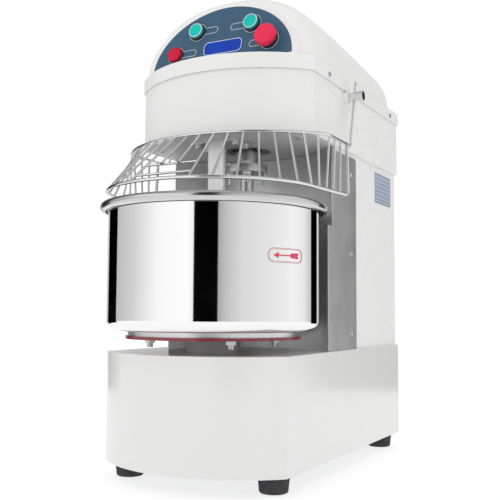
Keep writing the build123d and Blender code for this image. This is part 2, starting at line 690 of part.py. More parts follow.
def dome_solid(inset, base_z):
    """Dome from in front of the control face to its rounded back."""
    straight = 40.0
    round_start = DOME_BACK_Y - DOME_BACK_ROUND - inset
    stations = [DOME_SWELL_Y + DOME_SWELL_RUN * runs for runs in (0, 0.35, 0.75, 1.2, 1.8, 2.6, 3.8, 5.6)]
    stations += [45.0, 100.0, 150.0, 195.0, 240.0, round_start]
    stations += [round_start + DOME_BACK_ROUND * share for share in (0.2, 0.38, 0.55, 0.7, 0.82, 0.91, 0.97)]
    swell = loft([dome_face(y, inset, base_z) for y in stations])
    return extrude(dome_face(DOME_SWELL_Y, inset, base_z), amount=straight, dir=(0, -1, 0)) + swell


def face_plane(along, up):
    """Plane on the control face at an offset to the right and up the slope, facing outwards."""
    tilt = radians(FACE_TILT)
    origin = (along, FACE_Y + up * sin(tilt), FACE_Z + up * cos(tilt))
    return Plane(origin=origin, z_dir=(0, -cos(tilt), sin(tilt)), x_dir=(1, 0, 0))


def behind_face(depth):
    """Everything behind the control face, moved inwards by a depth."""
    return face_plane(0, 60) * (Pos(0, 0, -depth) * Box(600, 600, 700, align=HANGING))


def panel_prism(grow=0.0):
    """Prism along Y with the arched outline of the control panel, widened all round by grow."""
    width = PANEL_HALF_WIDTH + grow
    height = (PANEL_HEIGHT + grow) * cos(radians(FACE_TILT))
    points = arch_points(width, height, PANEL_POWER)
    foot = Line(points[-1], points[0])
    if grow:
        foot = Polyline(points[-1], (-width, -grow), (width, -grow), points[0])
    outline = Plane.XZ * make_face([Spline(*points), foot])
    return extrude(Pos(0, 0, FACE_Z) * outline, amount=300, both=True)


def control_holes(radius):
    """Cylinders through the control face at the lamp and the three buttons."""
    return [face_plane(*place) * Cylinder(radius, 30) for place in CONTROLS_AT]


def make_hood_cover():
    """White hood: outstanding lip, top ledge and hollow dome cut off by the control face."""
    lip = bowed_prism(HEAD_SHAPE, LIP_BOTTOM_Z, LIP_TOP_Z, inset=-LIP_OUTSET)
    lip = fillet(lip.edges().group_by(Axis.Z)[-1], LIP_ROUND)
    outer = lip + (dome_solid(0.0, LIP_TOP_Z - 6) & behind_face(0.0))
    hood = outer - bowed_prism(HEAD_SHAPE, LIP_BOTTOM_Z - 1, LIP_TOP_Z - LIP_WALL,
                               inset=LIP_WALL - LIP_OUTSET)
    hood -= dome_solid(DOME_WALL, LIP_TOP_Z - 12) & behind_face(DOME_WALL)
    hood -= panel_prism(GAP) & (behind_face(-2.0) - behind_face(PANEL_THICK))
    for hole in control_holes(CONTROL_HOLE):
        hood -= hole
    for side in (-1, 1):
        for y in HOOD_SCREW_Y:
            hood -= on_axis((side * BODY_HALF_WIDTH, y, HOOD_SCREW_Z), (side, 0, 0), Cylinder(2.2, 20))
    return hood


def make_hood_screws():
    """Round-headed screws through the hood's lip into the head casing."""
    x = BODY_HALF_WIDTH + LIP_OUTSET
    screws = []
    for side in (-1, 1):
        for y in HOOD_SCREW_Y:
            screw = round_head_screw(2.1, 9, 4.6, 2.4)
            screws.append(on_axis((side * x, y, HOOD_SCREW_Z), (side, 0, 0), screw))
    return screws


# ---------------------------------------------------------------- controls
def make_control_panel():
    """Slate-blue panel set flush into the hood's face, with the control holes."""
    panel = panel_prism() & (behind_face(0.0) - behind_face(PANEL_THICK))
    for hole in control_holes(CONTROL_HOLE):
        panel -= hole
    return panel


def make_panel_badge():
    """Blank round-cornered badge on the panel."""
    return extrude(face_plane(*BADGE_AT) * RectangleRounded(*BADGE_SIZE), amount=BADGE_THICK)


def turned(radius, back, front):
    """Round piece of a control between two distances in front of the face."""
    return Pos(0, 0, back) * Cylinder(radius, front - back, align=STANDING)


def collar(place, bore, front):
    """Dark collar of a control, from behind the face to its front rim, with a lock nut inside."""
    ring = turned(COLLAR_RADIUS, COLLAR_BACK, front)
    ring = chamfer(ring.edges().group_by(Axis.Z)[-1], 0.8)
    ring += Pos(0, 0, -DOME_WALL) * (Rot(180, 0, 0) * hexagon(36, 4))
    return face_plane(*place) * (ring - Cylinder(bore, 60))


def make_control_collars():
    """Collars of the lamp, the two green buttons and the stop button."""
    return [collar(LAMP_AT, 12.0, 3.2), collar(FAST_AT, 14.4, 5.5),
            collar(SLOW_AT, 14.4, 5.5), collar(STOP_AT, 12.0, 5.4)]


def make_power_lamp():
    """Red lamp lens that caps its collar."""
    lens = turned(LENS_RADIUS, *LENS_SPAN)
    lens = fillet(lens.edges().group_by(Axis.Z)[-1], 3)
    return face_plane(*LAMP_AT) * (lens + turned(11.9, -11.0, LENS_SPAN[0]))


def push_button(place):
    """Green push button: its cap stands out of the collar's bore and sinks into it when pressed."""
    cap = turned(CAP_RADIUS, *CAP_SPAN)
    cap = fillet(cap.edges().group_by(Axis.Z)[-1], 1.2)
    return face_plane(*place) * (cap + turned(STEM_RADIUS, CAP_STEM_BACK, CAP_SPAN[0]))


def make_stop_button():
    """Red mushroom button on its stem."""
    head = turned(MUSHROOM_RADIUS, *MUSHROOM_SPAN)
    head = fillet(head.edges().group_by(Axis.Z)[-1], 5)
    head = fillet(head.edges().group_by(Axis.Z)[0], 1.5)
    return face_plane(*STOP_AT) * (head + turned(STEM_RADIUS, STOP_STEM_BACK, MUSHROOM_SPAN[0]))


def make_contact_blocks():
    """Switch and lamp blocks behind the panel, clear of the stems' travel."""
    body = Box(28, 36, 26, align=HANGING) - Box(4, 36, 4)
    return [face_plane(*place) * (Pos(0, 0, CONTACT_FRONT) * body) for place in CONTROLS_AT]


# ---------------------------------------------------------------- guard
def guard_upper_path():
    """Upper ring's plan: bow radius, the bow's centre y, and its rounded corner's y, x and turn."""
    head_radius = (BODY_HALF_WIDTH**2 + HEAD_BOW**2) / (2 * HEAD_BOW)
    centre_y = HEAD_CORNER_Y - HEAD_BOW + head_radius
    radius = head_radius + GUARD_UPPER_OFFSET
    corner_x = GUARD_SIDE_X - GUARD_CORNER_ROUND
    corner_y = centre_y - sqrt((radius - GUARD_CORNER_ROUND) ** 2 - corner_x**2)
    return radius, centre_y, corner_y, corner_x, atan2(corner_x, centre_y - corner_y)


def guard_upper_point(length):
    """Point on the upper ring at a length from the mid plane, on the right side."""
    radius, centre_y, corner_y, corner_x, turn = guard_upper_path()
    arc_length = radius * turn
    corner_length = GUARD_CORNER_ROUND * (pi / 2 - turn)
    if length <= arc_length:
        angle = length / radius
        return radius * sin(angle), centre_y - radius * cos(angle)
    if length <= arc_length + corner_length:
        angle = turn + (length - arc_length) / GUARD_CORNER_ROUND
        return corner_x + GUARD_CORNER_ROUND * sin(angle), corner_y - GUARD_CORNER_ROUND * cos(angle)
    return GUARD_SIDE_X, corner_y + length - arc_length - corner_length


def guard_lower_point(length):
    """Point on the lower ring at a length from the mid plane, on the right side."""
    radius = GUARD_LOWER_RADIUS
    arc_length = radius * (pi / 2 - GUARD_LOWER_FLARE)
    if length <= arc_length:
        angle = length / radius
        return radius * sin(angle), GUARD_LOWER_Y - radius * cos(angle)
    x = radius * cos(GUARD_LOWER_FLARE) + (length - arc_length) * sin(GUARD_LOWER_FLARE)
    return x, GUARD_LOWER_Y - radius * sin(GUARD_LOWER_FLARE) + (length - arc_length) * cos(GUARD_LOWER_FLARE)


def lower_length(upper_length):
    """Length along the lower ring that a wire reaches from a length along the upper ring."""
    if upper_length < 190:
        return 1.47 * upper_length
    return 279.3 + 0.96 * (upper_length - 190)


def sweep_rod(edges, radius):
    """Round rod along joined edges."""
    path = Wire(edges)
    start = Plane(origin=path @ 0, z_dir=path % 0)
    return sweep(start * Circle(radius), path=path)


def make_guard_upper_ring():
    """Upper rod of the guard: bowed front, straight sides, and arms bent up through the pivot shafts."""
    radius, centre_y, corner_y, corner_x, turn = guard_upper_path()
    z = GUARD_UPPER_Z
    join = (radius * sin(turn), centre_y - radius * cos(turn), z)
    front = ThreePointArc((-join[0], join[1], z), (0, centre_y - radius, z), join)
    ring = sweep_rod([front], RING_ROD_UPPER)
    middle_turn = (turn + pi / 2) / 2
    bend_y = PIVOT_Y - GUARD_ARM_LEAN * (PIVOT_Z - z)
    top_z = PIVOT_Z + 31
    for side in (-1, 1):
        corner_mid = (side * (corner_x + GUARD_CORNER_ROUND * sin(middle_turn)),
                      corner_y - GUARD_CORNER_ROUND * cos(middle_turn), z)
        corner = ThreePointArc((side * join[0], join[1], z), corner_mid, (side * GUARD_SIDE_X, corner_y, z))
        ring += sweep_rod([corner], RING_ROD_UPPER)
        points = [(side * GUARD_SIDE_X, corner_y, z), (side * GUARD_SIDE_X, GUARD_REAR_Y, z),
                  (side * (GUARD_ARM_X + 4), bend_y, z), arm_point(side, top_z)]
        ring += rod(points, RING_ROD_UPPER, [18, 14])
    return ring


def arm_point(side, z):
    """Point on the straight part of a guard arm at a height."""
    inwards = 4 * (PIVOT_Z - z) / (PIVOT_Z - GUARD_UPPER_Z)
    return (side * (GUARD_ARM_X + inwards), PIVOT_Y + GUARD_ARM_LEAN * (z - PIVOT_Z), z)


def make_guard_lower_ring():
    """Lower rod of the guard, its ends bent up to the upper ring as end uprights."""
    arc_end = GUARD_LOWER_RADIUS * (pi / 2 - GUARD_LOWER_FLARE)
    join = (*guard_lower_point(arc_end), GUARD_LOWER_Z)
    front = ThreePointArc((-join[0], join[1], GUARD_LOWER_Z),
                          (0, GUARD_LOWER_Y - GUARD_LOWER_RADIUS, GUARD_LOWER_Z), join)
    ring = sweep_rod([front], RING_ROD_LOWER)
    end = guard_lower_point(arc_end + 126.5)
    upper_z = GUARD_UPPER_Z - RING_ROD_UPPER
    for side in (-1, 1):
        points = [(side * join[0], join[1], GUARD_LOWER_Z), (side * end[0], end[1], GUARD_LOWER_Z),
                  (side * GUARD_SIDE_X, GUARD_REAR_Y, upper_z)]
        ring += rod(points, RING_ROD_LOWER, [9])
    return ring


def wire_ends(index):
    """Top and bottom of one guard wire on the right side."""
    length = GUARD_WIRE_PITCH * (index + 0.5)
    top = guard_upper_point(length)
    bottom = guard_lower_point(lower_length(length))
    return Vector(*top, GUARD_UPPER_Z), Vector(*bottom, GUARD_LOWER_Z)


def wire_point(index, share):
    """Point down one guard wire, from 0 at its top to 1 at its bottom."""
    top, bottom = wire_ends(index)
    return top + (bottom - top) * share


def make_guard_wires():
    """Wires between the rings; the middle two stop at the feed window's upper cross rod."""
    wires = []
    for index in range(GUARD_WIRE_COUNT):
        reach = FEED_RODS[0] if index == 0 else 1.0
        top = wire_point(index, 0.0)
        bottom = wire_point(index, reach)
        for side in (-1, 1):
            start = (side * top.X, top.Y, top.Z - 1)
            end = (side * bottom.X, bottom.Y, bottom.Z + (1 if reach == 1.0 else 0))
            wires.append(straight_rod(start, end, WIRE_ROD))
    return wires


def make_guard_feed_rods():
    """Two cross rods between the wires beside the middle."""
    rods = []
    for share in FEED_RODS:
        point = wire_point(1, share)
        rods.append(straight_rod((-point.X, point.Y, point.Z), (point.X, point.Y, point.Z), WIRE_ROD))
    return rods


def make_guard_pivot_shafts():
    """Two stub shafts, each with an end collar, a cross hole for the arm and an inner retaining ring."""
    shafts = []
    for side in (-1, 1):
        shaft = Cylinder(PIVOT_RADIUS, 64, align=HANGING)
        collar_ring = Cylinder(9.5, 9, align=HANGING)
        shaft += fillet(collar_ring.edges().group_by(Axis.Z)[-1], 1.2)
        shaft += Pos(0, 0, -59) * Cylinder(13, 6)
        if side > 0:
            shaft += Pos(-6, 0, -63) * Cylinder(18, 5)
        shaft = on_axis((side * 208, PIVOT_Y, PIVOT_Z), (side, 0, 0), shaft)
        low = arm_point(side, PIVOT_Z - 30)
        high = arm_point(side, PIVOT_Z + 30)
        shaft -= straight_rod(low, high, RING_ROD_UPPER + 0.1)
        shafts.append(shaft)
    return shafts


def make_guard_bushes():
    """White flanged bushes through the head's sides, each with a lock nut inside."""
    bushes = []
    for side in (-1, 1):
        bush = Cylinder(11.5, 7.7, align=STANDING)
        bush = fillet(bush.edges().group_by(Axis.Z)[-1], 1.2)
        bush += Cylinder(10, 16, align=HANGING)
        bush += Pos(0, 0, -SHEET) * (Rot(180, 0, 0) * hexagon(30, 8))
        bush -= Cylinder(PIVOT_RADIUS + 0.05, 80)
        bushes.append(on_axis((side * BODY_HALF_WIDTH, PIVOT_Y, PIVOT_Z), (side, 0, 0), bush))
    return bushes


def make_guard_switch():
    """Interlock switch under the cam of the right pivot shaft, on its bracket."""
    floor_z = HEAD_PLATE_Z + HEAD_PLATE_THICK
    bracket = block((120, 123), (0, 48), (floor_z, 650)) + block((120, 156), (0, 48), (floor_z, floor_z + 3))
    body = block((123, 150), (4, 44), (620, 650))
    plunger = block((140, 146), (20, 28), (650, 653))
    return bracket + body + plunger


# ---------------------------------------------------------------- spiral and divider bar
def make_spiral_bearing_housing():
    """Flanged housing on the head base plate with a bearing seat at each end."""
    floor_z = HEAD_PLATE_Z + HEAD_PLATE_THICK
    housing = tube(46, 0, floor_z, 652, SPIRAL_AXIS) + tube(72, 0, floor_z, floor_z + 10, SPIRAL_AXIS)
    for angle in (45, 135, 225, 315):
        point = polar(SPIRAL_AXIS, 60, angle)
        housing += at(point, floor_z + 10) * hexagon(13, 5.5)
    housing -= tube(24, 0, 580, 655, SPIRAL_AXIS)
    housing -= tube(36, 0, 580, floor_z + 18, SPIRAL_AXIS)
    housing -= tube(36, 0, 635, 655, SPIRAL_AXIS)
    return housing


def make_spiral_bearings():
    """Ball bearings at the two ends of the spiral's housing."""
    low = HEAD_PLATE_Z + HEAD_PLATE_THICK + 1
    return [ball_bearing(SPIRAL_AXIS, z, 17, SPIRAL_SHAFT_RADIUS + 0.05, 36) for z in (low, 635)]


def spiral_bolt_points():
    """Centres of the four bolts that join the hook to the spiral shaft."""
    angles = [SPIRAL_BOLT_PHASE + 90 * index for index in range(4)]
    return [polar(SPIRAL_AXIS, SPIRAL_BOLT_RADIUS, angle) for angle in angles]


def make_spiral_shaft():
    """Spiral drive shaft with a stout boss and a bolting flange at its lower end."""
    shaft = tube(SPIRAL_SHAFT_RADIUS, 0, 578, 692, SPIRAL_AXIS)
    shaft = chamfer(shaft.edges().group_by(Axis.Z)[-1], 1.5)
    shaft += tube(23, 0, SPIRAL_FLANGE_Z + 7, 578, SPIRAL_AXIS)
    shaft += tube(SPIRAL_FLANGE_RADIUS, 0, SPIRAL_FLANGE_Z, SPIRAL_FLANGE_Z + 7, SPIRAL_AXIS)
    for point in spiral_bolt_points():
        shaft -= tube(4.2, 0, SPIRAL_FLANGE_Z - 1, SPIRAL_FLANGE_Z + 30, point)
    return shaft


def bend_radii(points):
    """Bend radius for each inner corner of a route, as large as its two runs allow."""
    radii = []
    for before, corner, after in zip(points, points[1:], points[2:]):
        run_in = corner - before
        run_out = after - corner
        turn = radians(run_in.get_angle(run_out))
        radii.append(0.45 * min(run_in.length, run_out.length) / tan(turn / 2))
    return radii


def make_spiral_hook():
    """Forged hook: bolting flange, straight neck and a rod coiled down around the axis."""
    points = [Vector(0, 0, SPIRAL_FLANGE_Z - 20), Vector(0, 0, HOOK_TOP_Z + 26)]
    for index in range(HOOK_STEPS):
        share = index / (HOOK_STEPS - 1)
        reach = HOOK_COIL_RADIUS * min(1.0, 0.35 + index * 0.22)
        angle = radians(HOOK_START_ANGLE + HOOK_STEP_ANGLE * index)
        z = HOOK_TOP_Z + (HOOK_BOTTOM_Z - HOOK_TOP_Z) * share
        points.append(Vector(reach * cos(angle), reach * sin(angle), z))
    hook = rod([tuple(point) for point in points], HOOK_ROD_RADIUS, bend_radii(points))
    tip = hook.edges().filter_by(GeomType.CIRCLE).sort_by_distance(points[-1])[0]
    hook = fillet(tip, 7)
    hook += tube(12.5, 0, HOOK_TOP_Z + 40, SPIRAL_FLANGE_Z - 7)
    hook += tube(SPIRAL_FLANGE_RADIUS, 0, SPIRAL_FLANGE_Z - 7, SPIRAL_FLANGE_Z)
    hook = at(SPIRAL_AXIS) * hook
    for point in spiral_bolt_points():
        hook -= tube(4.2, 0, SPIRAL_FLANGE_Z - 8, SPIRAL_FLANGE_Z + 1, point)
    return hook


def make_spiral_flange_bolts():
    """Bolts down through both flanges, with nuts and their thread ends hanging below."""
    bolt = hex_bolt(4, 35, 13, 5.3, nut_at=14.1, nut_height=6.5)
    return [at(point, SPIRAL_FLANGE_Z + 7.05) * bolt for point in spiral_bolt_points()]


def make_spiral_sprocket():
    """Sprocket keyed on top of the spiral shaft."""
    return sprocket(SPIRAL_AXIS, SPIRAL_TEETH, LARGE_PITCH, SPIRAL_CHAIN_Z, SPIRAL_SHAFT_RADIUS, 30, 656, 684)


def make_divider_bar():
    """Flat bar that holds the dough back, welded to the plate that bolts it under the head."""
    plate = block((-50, 50), (-165, -105), (HEAD_BOTTOM_Z - 5, HEAD_BOTTOM_Z))
    plate = fillet(plate.edges().filter_by(Axis.Z), 4)
    for point in BAR_BOLTS:
        plate -= tube(3.2, 0, 570, 585, point)
    bar = block((-17, 17), (BAR_Y - 6, BAR_Y + 6), (275, HEAD_BOTTOM_Z - 5))
    bar = fillet(bar.edges().filter_by(Axis.Y).group_by(Axis.Z)[0], 12)
    bar = fillet(bar.edges().filter_by(Axis.Z), 2.5)
    return plate + bar


def make_divider_bar_bolts():
    """Bolts up through the divider bar's plate into the head."""
    bolt = Rot(180, 0, 0) * hex_bolt(3, 4.9, 10, 6)
    return [at(point, HEAD_BOTTOM_Z - 5) * bolt for point in BAR_BOLTS]


# ---------------------------------------------------------------- drive train
def bearing_unit(axis, z_low, boss_height, shaft_radius):
    """Flanged bearing unit standing on a plate, bolted at its corners."""
    unit = extrude(RectangleRounded(84, 84, 12), amount=9)
    unit += Cylinder(28, boss_height, align=STANDING)
    for x in (-31, 31):
        for y in (-31, 31):
            unit += Pos(x, y, 9) * hexagon(13, 5.5)
    unit -= Cylinder(shaft_radius + 0.05, 4 * boss_height)
    return at(axis, z_low) * unit


def make_jackshaft_bearings():
    """Bearing units of the jackshaft: on the chassis and on the head base plate."""
    upper_z = HEAD_PLATE_Z + HEAD_PLATE_THICK
    return [bearing_unit(JACK_AXIS, CHASSIS_TOP_Z, 24, JACK_SHAFT_RADIUS),
            bearing_unit(JACK_AXIS, upper_z, 24, JACK_SHAFT_RADIUS)]


def make_jackshaft():
    """Long shaft from the base to the head with its two sprockets."""
    shaft = tube(JACK_SHAFT_RADIUS, 0, CHASSIS_TOP_Z + 1, 722, JACK_AXIS)
    shaft = chamfer(shaft.edges().group_by(Axis.Z)[-1], 1.5)
    lower = sprocket(JACK_AXIS, JACK_LOWER_TEETH, SMALL_PITCH, TRANSFER_CHAIN_Z, JACK_SHAFT_RADIUS)
    upper = sprocket(JACK_AXIS, JACK_UPPER_TEETH, LARGE_PITCH, SPIRAL_CHAIN_Z,
                     JACK_SHAFT_RADIUS, 20, 650, 682)
    return shaft + lower + upper


def pulley(axis, radius, bore, z_middle):
    """Two-groove belt pulley."""
    half = BELT_SPACING + 1
    wheel = tube(radius, bore, z_middle - half, z_middle + half, axis)
    for offset in (-BELT_SPACING / 2, BELT_SPACING / 2):
        wheel -= v_groove(radius, z_middle + offset, axis)
    return wheel


def make_jackshaft_pulley():
    """Large pulley with lightening holes in its web."""
    wheel = pulley(JACK_AXIS, JACK_PULLEY_RADIUS, JACK_SHAFT_RADIUS, BELT_Z)
    recess = tube(74, 26, 0, 9)
    wheel -= at(JACK_AXIS, BELT_Z + 5) * recess
    wheel -= at(JACK_AXIS, BELT_Z - 14) * recess
    for angle in range(0, 360, 60):
        wheel -= tube(15, 0, BELT_Z - 20, BELT_Z + 20, polar(JACK_AXIS, 50, angle))
    return wheel


def make_countershaft():
    """Short shaft in the base with the sprockets of the second and third stages."""
    shaft = tube(COUNTER_SHAFT_RADIUS, 0, CHASSIS_TOP_Z + 1, 134, COUNTER_AXIS)
    large = sprocket(COUNTER_AXIS, COUNTER_LARGE_TEETH, SMALL_PITCH, TRANSFER_CHAIN_Z,
                     COUNTER_SHAFT_RADIUS, 24, 66, 92)
    small = sprocket(COUNTER_AXIS, COUNTER_SMALL_TEETH, SMALL_PITCH, BOWL_CHAIN_Z, COUNTER_SHAFT_RADIUS)
    return shaft + large + small


def make_countershaft_bearing():
    """Bearing unit of the countershaft on the chassis."""
    return bearing_unit(COUNTER_AXIS, CHASSIS_TOP_Z, 28, COUNTER_SHAFT_RADIUS)


def make_drive_chains():
    """Chains of the three stages: spiral, transfer and bowl."""
    return [roller_chain(JACK_AXIS, JACK_UPPER_TEETH, SPIRAL_AXIS, SPIRAL_TEETH, LARGE_PITCH, SPIRAL_CHAIN_Z),
            roller_chain(JACK_AXIS, JACK_LOWER_TEETH, COUNTER_AXIS, COUNTER_LARGE_TEETH, SMALL_PITCH,
                         TRANSFER_CHAIN_Z),
            roller_chain(COUNTER_AXIS, COUNTER_SMALL_TEETH, BOWL_AXIS, BOWL_TEETH, SMALL_PITCH, BOWL_CHAIN_Z)]


def make_v_belts():
    """Pair of V-belts from the motor to the jackshaft."""
    return [v_belt(BELT_Z + offset) for offset in (-BELT_SPACING / 2, BELT_SPACING / 2)]


def make_motor_body():
    """Motor stator housing with cooling fins, end bells, mounting flange and terminal box."""
    body = tube(68, 0, 345, 530, MOTOR_AXIS)
    body += tube(73, 0, 318, 345, MOTOR_AXIS)
    body += tube(73, 0, 530, 552, MOTOR_AXIS)
    for index in range(30):
        fin = Pos(70, 0, 437.5) * Box(8, 2.4, 185)
        body += at(MOTOR_AXIS) * (Rot(0, 0, 12 * index) * fin)
    x, y = MOTOR_AXIS
    body += block((x + 60, x + 96), (y - 32, y + 32), (400, 490))
    body -= tube(41, 0, 350, 525, MOTOR_AXIS)
    body -= tube(MOTOR_SHAFT_RADIUS + 0.05, 0, 330, 560, MOTOR_AXIS)
    return body


def make_motor_mount():
    """Plate across the column that the motor hangs from, with folded ends on the side panels."""
    inner = COLUMN_HALF_WIDTH - SHEET
    mount = block((-inner, inner), (158, 326), (552, 558))
    for side in (-1, 1):
        fold = sorted((side * inner, side * (inner - 4)))
        mount += block(fold, (158, 326), (500, 552))
    mount -= tube(20, 0, 540, 570, MOTOR_AXIS)
    return mount


def make_motor_rotor():
    """Rotor core on the motor's shaft, which reaches up into the head."""
    rotor = tube(MOTOR_SHAFT_RADIUS, 0, 331, 720, MOTOR_AXIS) + tube(40, 0, 356, 519, MOTOR_AXIS)
    return chamfer(rotor.edges().group_by(Axis.Z)[-1], 1.5)


def make_motor_pulley():
    """Small pulley on the motor's shaft."""
    return pulley(MOTOR_AXIS, MOTOR_PULLEY_RADIUS, MOTOR_SHAFT_RADIUS, BELT_Z)


def make_contactor_box():
    """Contactor and relay box low in the column, standing on the base top."""
    box = block((20, 130), (240, 320), (BASE_TOP_Z, 345))
    box = fillet(box.edges().filter_by(Axis.Z), 5)
    box += block((14, 136), (234, 326), (345, 350))
    return box


# ---------------------------------------------------------------- export
NODES = {
    "base_housing": make_base_housing,
    "base_chassis": make_base_chassis,
    "rubber_feet": make_rubber_feet,
    "foot_bolts": make_foot_bolts,
    "column_side_panels": make_column_side_panels,
    "column_splash_plate": make_column_splash_plate,
    "splash_plate_screws": make_splash_screws,
    "rear_panel": make_rear_panel,
    "rear_panel_screws": make_rear_panel_screws,
    "rating_plate": make_rating_plate,
    "cable_gland": make_cable_gland,
    "head_casing": make_head_casing,
    "head_base_plate": make_head_base_plate,
    "underside_screws": make_underside_screws,
    "hood_cover": make_hood_cover,
    "hood_screws": make_hood_screws,
    "control_panel": make_control_panel,
    "panel_badge": make_panel_badge,
    "control_collars": make_control_collars,
    "power_lamp": make_power_lamp,
    "contact_blocks": make_contact_blocks,
    "fast_button": lambda: push_button(FAST_AT),
    "slow_button": lambda: push_button(SLOW_AT),
    "stop_button": make_stop_button,
    "divider_bar": make_divider_bar,
    "divider_bar_bolts": make_divider_bar_bolts,
    "spiral_bearing_housing": make_spiral_bearing_housing,
    "spiral_bearings": make_spiral_bearings,
    "spiral_shaft": make_spiral_shaft,
    "spiral_hook": make_spiral_hook,
    "spiral_flange_bolts": make_spiral_flange_bolts,
    "spiral_sprocket": make_spiral_sprocket,
    "guard_upper_ring": make_guard_upper_ring,
    "guard_lower_ring": make_guard_lower_ring,
    "guard_wires": make_guard_wires,
    "guard_feed_rods": make_guard_feed_rods,
    "guard_pivot_shafts": make_guard_pivot_shafts,
    "guard_bushes": make_guard_bushes,
    "guard_switch": make_guard_switch,
    "bowl_bearing_hub": make_bowl_bearing_hub,
    "bowl_bearings": make_bowl_bearings,
    "bowl": make_bowl,
    "bowl_base_ring": make_bowl_base_ring,
    "turntable_plate": make_turntable_plate,
    "turntable_bolts": make_turntable_bolts,
    "bowl_shaft": make_bowl_shaft,
    "bowl_sprocket": make_bowl_sprocket,
    "countershaft": make_countershaft,
    "countershaft_bearing": make_countershaft_bearing,
    "jackshaft": make_jackshaft,
    "jackshaft_bearings": make_jackshaft_bearings,
    "jackshaft_pulley": make_jackshaft_pulley,
    "drive_chains": make_drive_chains,
    "v_belts": make_v_belts,
    "motor_body": make_motor_body,
    "motor_mount": make_motor_mount,
    "motor_rotor": make_motor_rotor,
    "motor_pulley": make_motor_pulley,
    "contactor_box": make_contactor_box,
}

os.makedirs("parts", exist_ok=True)
for name, make in NODES.items():
    piece = make()
    if isinstance(piece, list):
        piece = Compound(children=piece)
    export_step(piece, f"parts/{name}.step")
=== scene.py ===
"""Spiral dough mixer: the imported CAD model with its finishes, printed panel, labels and small fittings.

Everything is in metres, in the CAD's frame: the front faces -Y and +Z is up.
"""

import json
from math import asin, cos, pi, radians, sin

import bmesh
import bpy
from mathutils import Matrix, Vector


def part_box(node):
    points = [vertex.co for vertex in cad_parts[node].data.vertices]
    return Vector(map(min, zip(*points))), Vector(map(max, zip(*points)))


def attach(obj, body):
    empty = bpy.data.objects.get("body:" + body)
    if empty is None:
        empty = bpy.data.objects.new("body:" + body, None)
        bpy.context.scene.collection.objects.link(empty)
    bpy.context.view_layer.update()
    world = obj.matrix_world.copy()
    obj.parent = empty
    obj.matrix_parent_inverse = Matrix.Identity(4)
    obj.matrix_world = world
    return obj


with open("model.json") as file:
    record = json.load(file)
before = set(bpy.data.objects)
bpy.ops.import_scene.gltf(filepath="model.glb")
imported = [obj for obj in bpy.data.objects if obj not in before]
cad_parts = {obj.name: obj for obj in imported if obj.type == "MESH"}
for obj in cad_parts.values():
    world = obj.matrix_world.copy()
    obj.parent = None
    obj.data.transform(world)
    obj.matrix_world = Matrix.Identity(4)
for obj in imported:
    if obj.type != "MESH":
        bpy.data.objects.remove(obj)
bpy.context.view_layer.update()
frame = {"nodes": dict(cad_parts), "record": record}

MM = 0.001

# Camera, at the photograph's viewpoint
CAMERA_PLACE = Vector((0.70383, -1.35177, 0.28346))
CAMERA_LENS = 57.77
CAMERA_YAW = radians(-27.951)
CAMERA_PITCH = radians(4.328)
CAMERA_ROLL = radians(0.316)

# The flat control face, leaning back: its foot at the middle, its way up and its way out
FACE_FOOT = Vector((0.0, -0.14465, 0.722))
FACE_TILT = radians(12.5)
FACE_UP = Vector((0.0, sin(FACE_TILT), cos(FACE_TILT)))
FACE_OUT = Vector((0.0, -cos(FACE_TILT), sin(FACE_TILT)))
# Middle of each control: across the face and up from its foot
LAMP_AT = (-0.0965, 0.0295)
FAST_AT = (-0.0552, 0.0702)
SLOW_AT = (0.0575, 0.0690)
STOP_AT = (0.0953, 0.0307)
BADGE_AT = (0.0023, 0.0315)
BADGE_THICK = 0.0009

# Print round each control: its place, the circle's radius, and the name field's reach and lift
CONTROL_PRINTS = (
    (LAMP_AT, 16.4 * MM, 37.3 * MM, 0.0),
    (FAST_AT, 17.3 * MM, 36.1 * MM, 0.0),
    (SLOW_AT, 17.3 * MM, -37.3 * MM, 0.0),
    (STOP_AT, 17.9 * MM, -33.1 * MM, -2 * MM),
)
NAME_FIELD_HALF = 0.0062
CIRCLE_STEPS = 60
FIELD_END_STEPS = 14
CORNER_STEPS = 8
SIDE_DIVISIONS = 12
PRINT_THICK = 0.15 * MM
PANEL_LINE = 1.0 * MM

# Half width, half height and corner radius of the printed frames
BADGE_BORDER = (38.6 * MM, 12.6 * MM, 8.8 * MM)
BADGE_BORDER_LINE = 1.3 * MM
BADGE_BORDER_RISE = 0.3 * MM
ARROW_FRAME_OUTER = (36.5 * MM, 11.0 * MM, 10.0 * MM)
ARROW_FRAME_INNER = (35.0 * MM, 9.5 * MM, 8.5 * MM)
OUTER_LINE = 0.9 * MM
INNER_LINE = 0.7 * MM

# Trim ring of a green cap: radius and height above the face, in millimetres
CAP_RIM_PROFILE = (
    (12.3, 9.6), (12.4, 10.0), (13.0, 10.1), (13.55, 9.85), (13.8, 9.35), (13.6, 9.0), (12.3, 9.6),
)

BOWL_AXIS = (0.0, -0.157)
BOWL_RADIUS = 0.182
BOWL_RIM_LOW = 0.448
BOWL_RIM_BLEND = 0.004

# Rotation arrow: its middle on the bowl, then its parts in millimetres from that middle
ARROW_TURN = radians(68.9)
ARROW_HEIGHT = 0.3695
ARROW_STATIONS = (
    (-27.0, 0.1), (-22.5, 2.2), (-18.0, 4.3), (-16.6, 4.4), (-16.4, 1.1), (-8.0, 1.1),
    (0.0, 1.1), (8.0, 1.1), (8.4, 3.6), (14.0, 4.0), (19.0, 4.3), (24.0, 4.4),
)
ARROW_TAIL = ((24.0, 0.2, 4.4), (26.5, 2.0, 4.4), (27.5, 3.4, 4.4))

# Data plate: border inset and line, then its ruled lines as shares of the half height
PLATE_INSET = 2 * MM
PLATE_RISE = 0.1 * MM
RULE_INSET = 6 * MM
RULE_LINE = 0.8 * MM
RULE_COUNT = 6
RULE_TOP = 0.62
RULE_STEP = 0.27

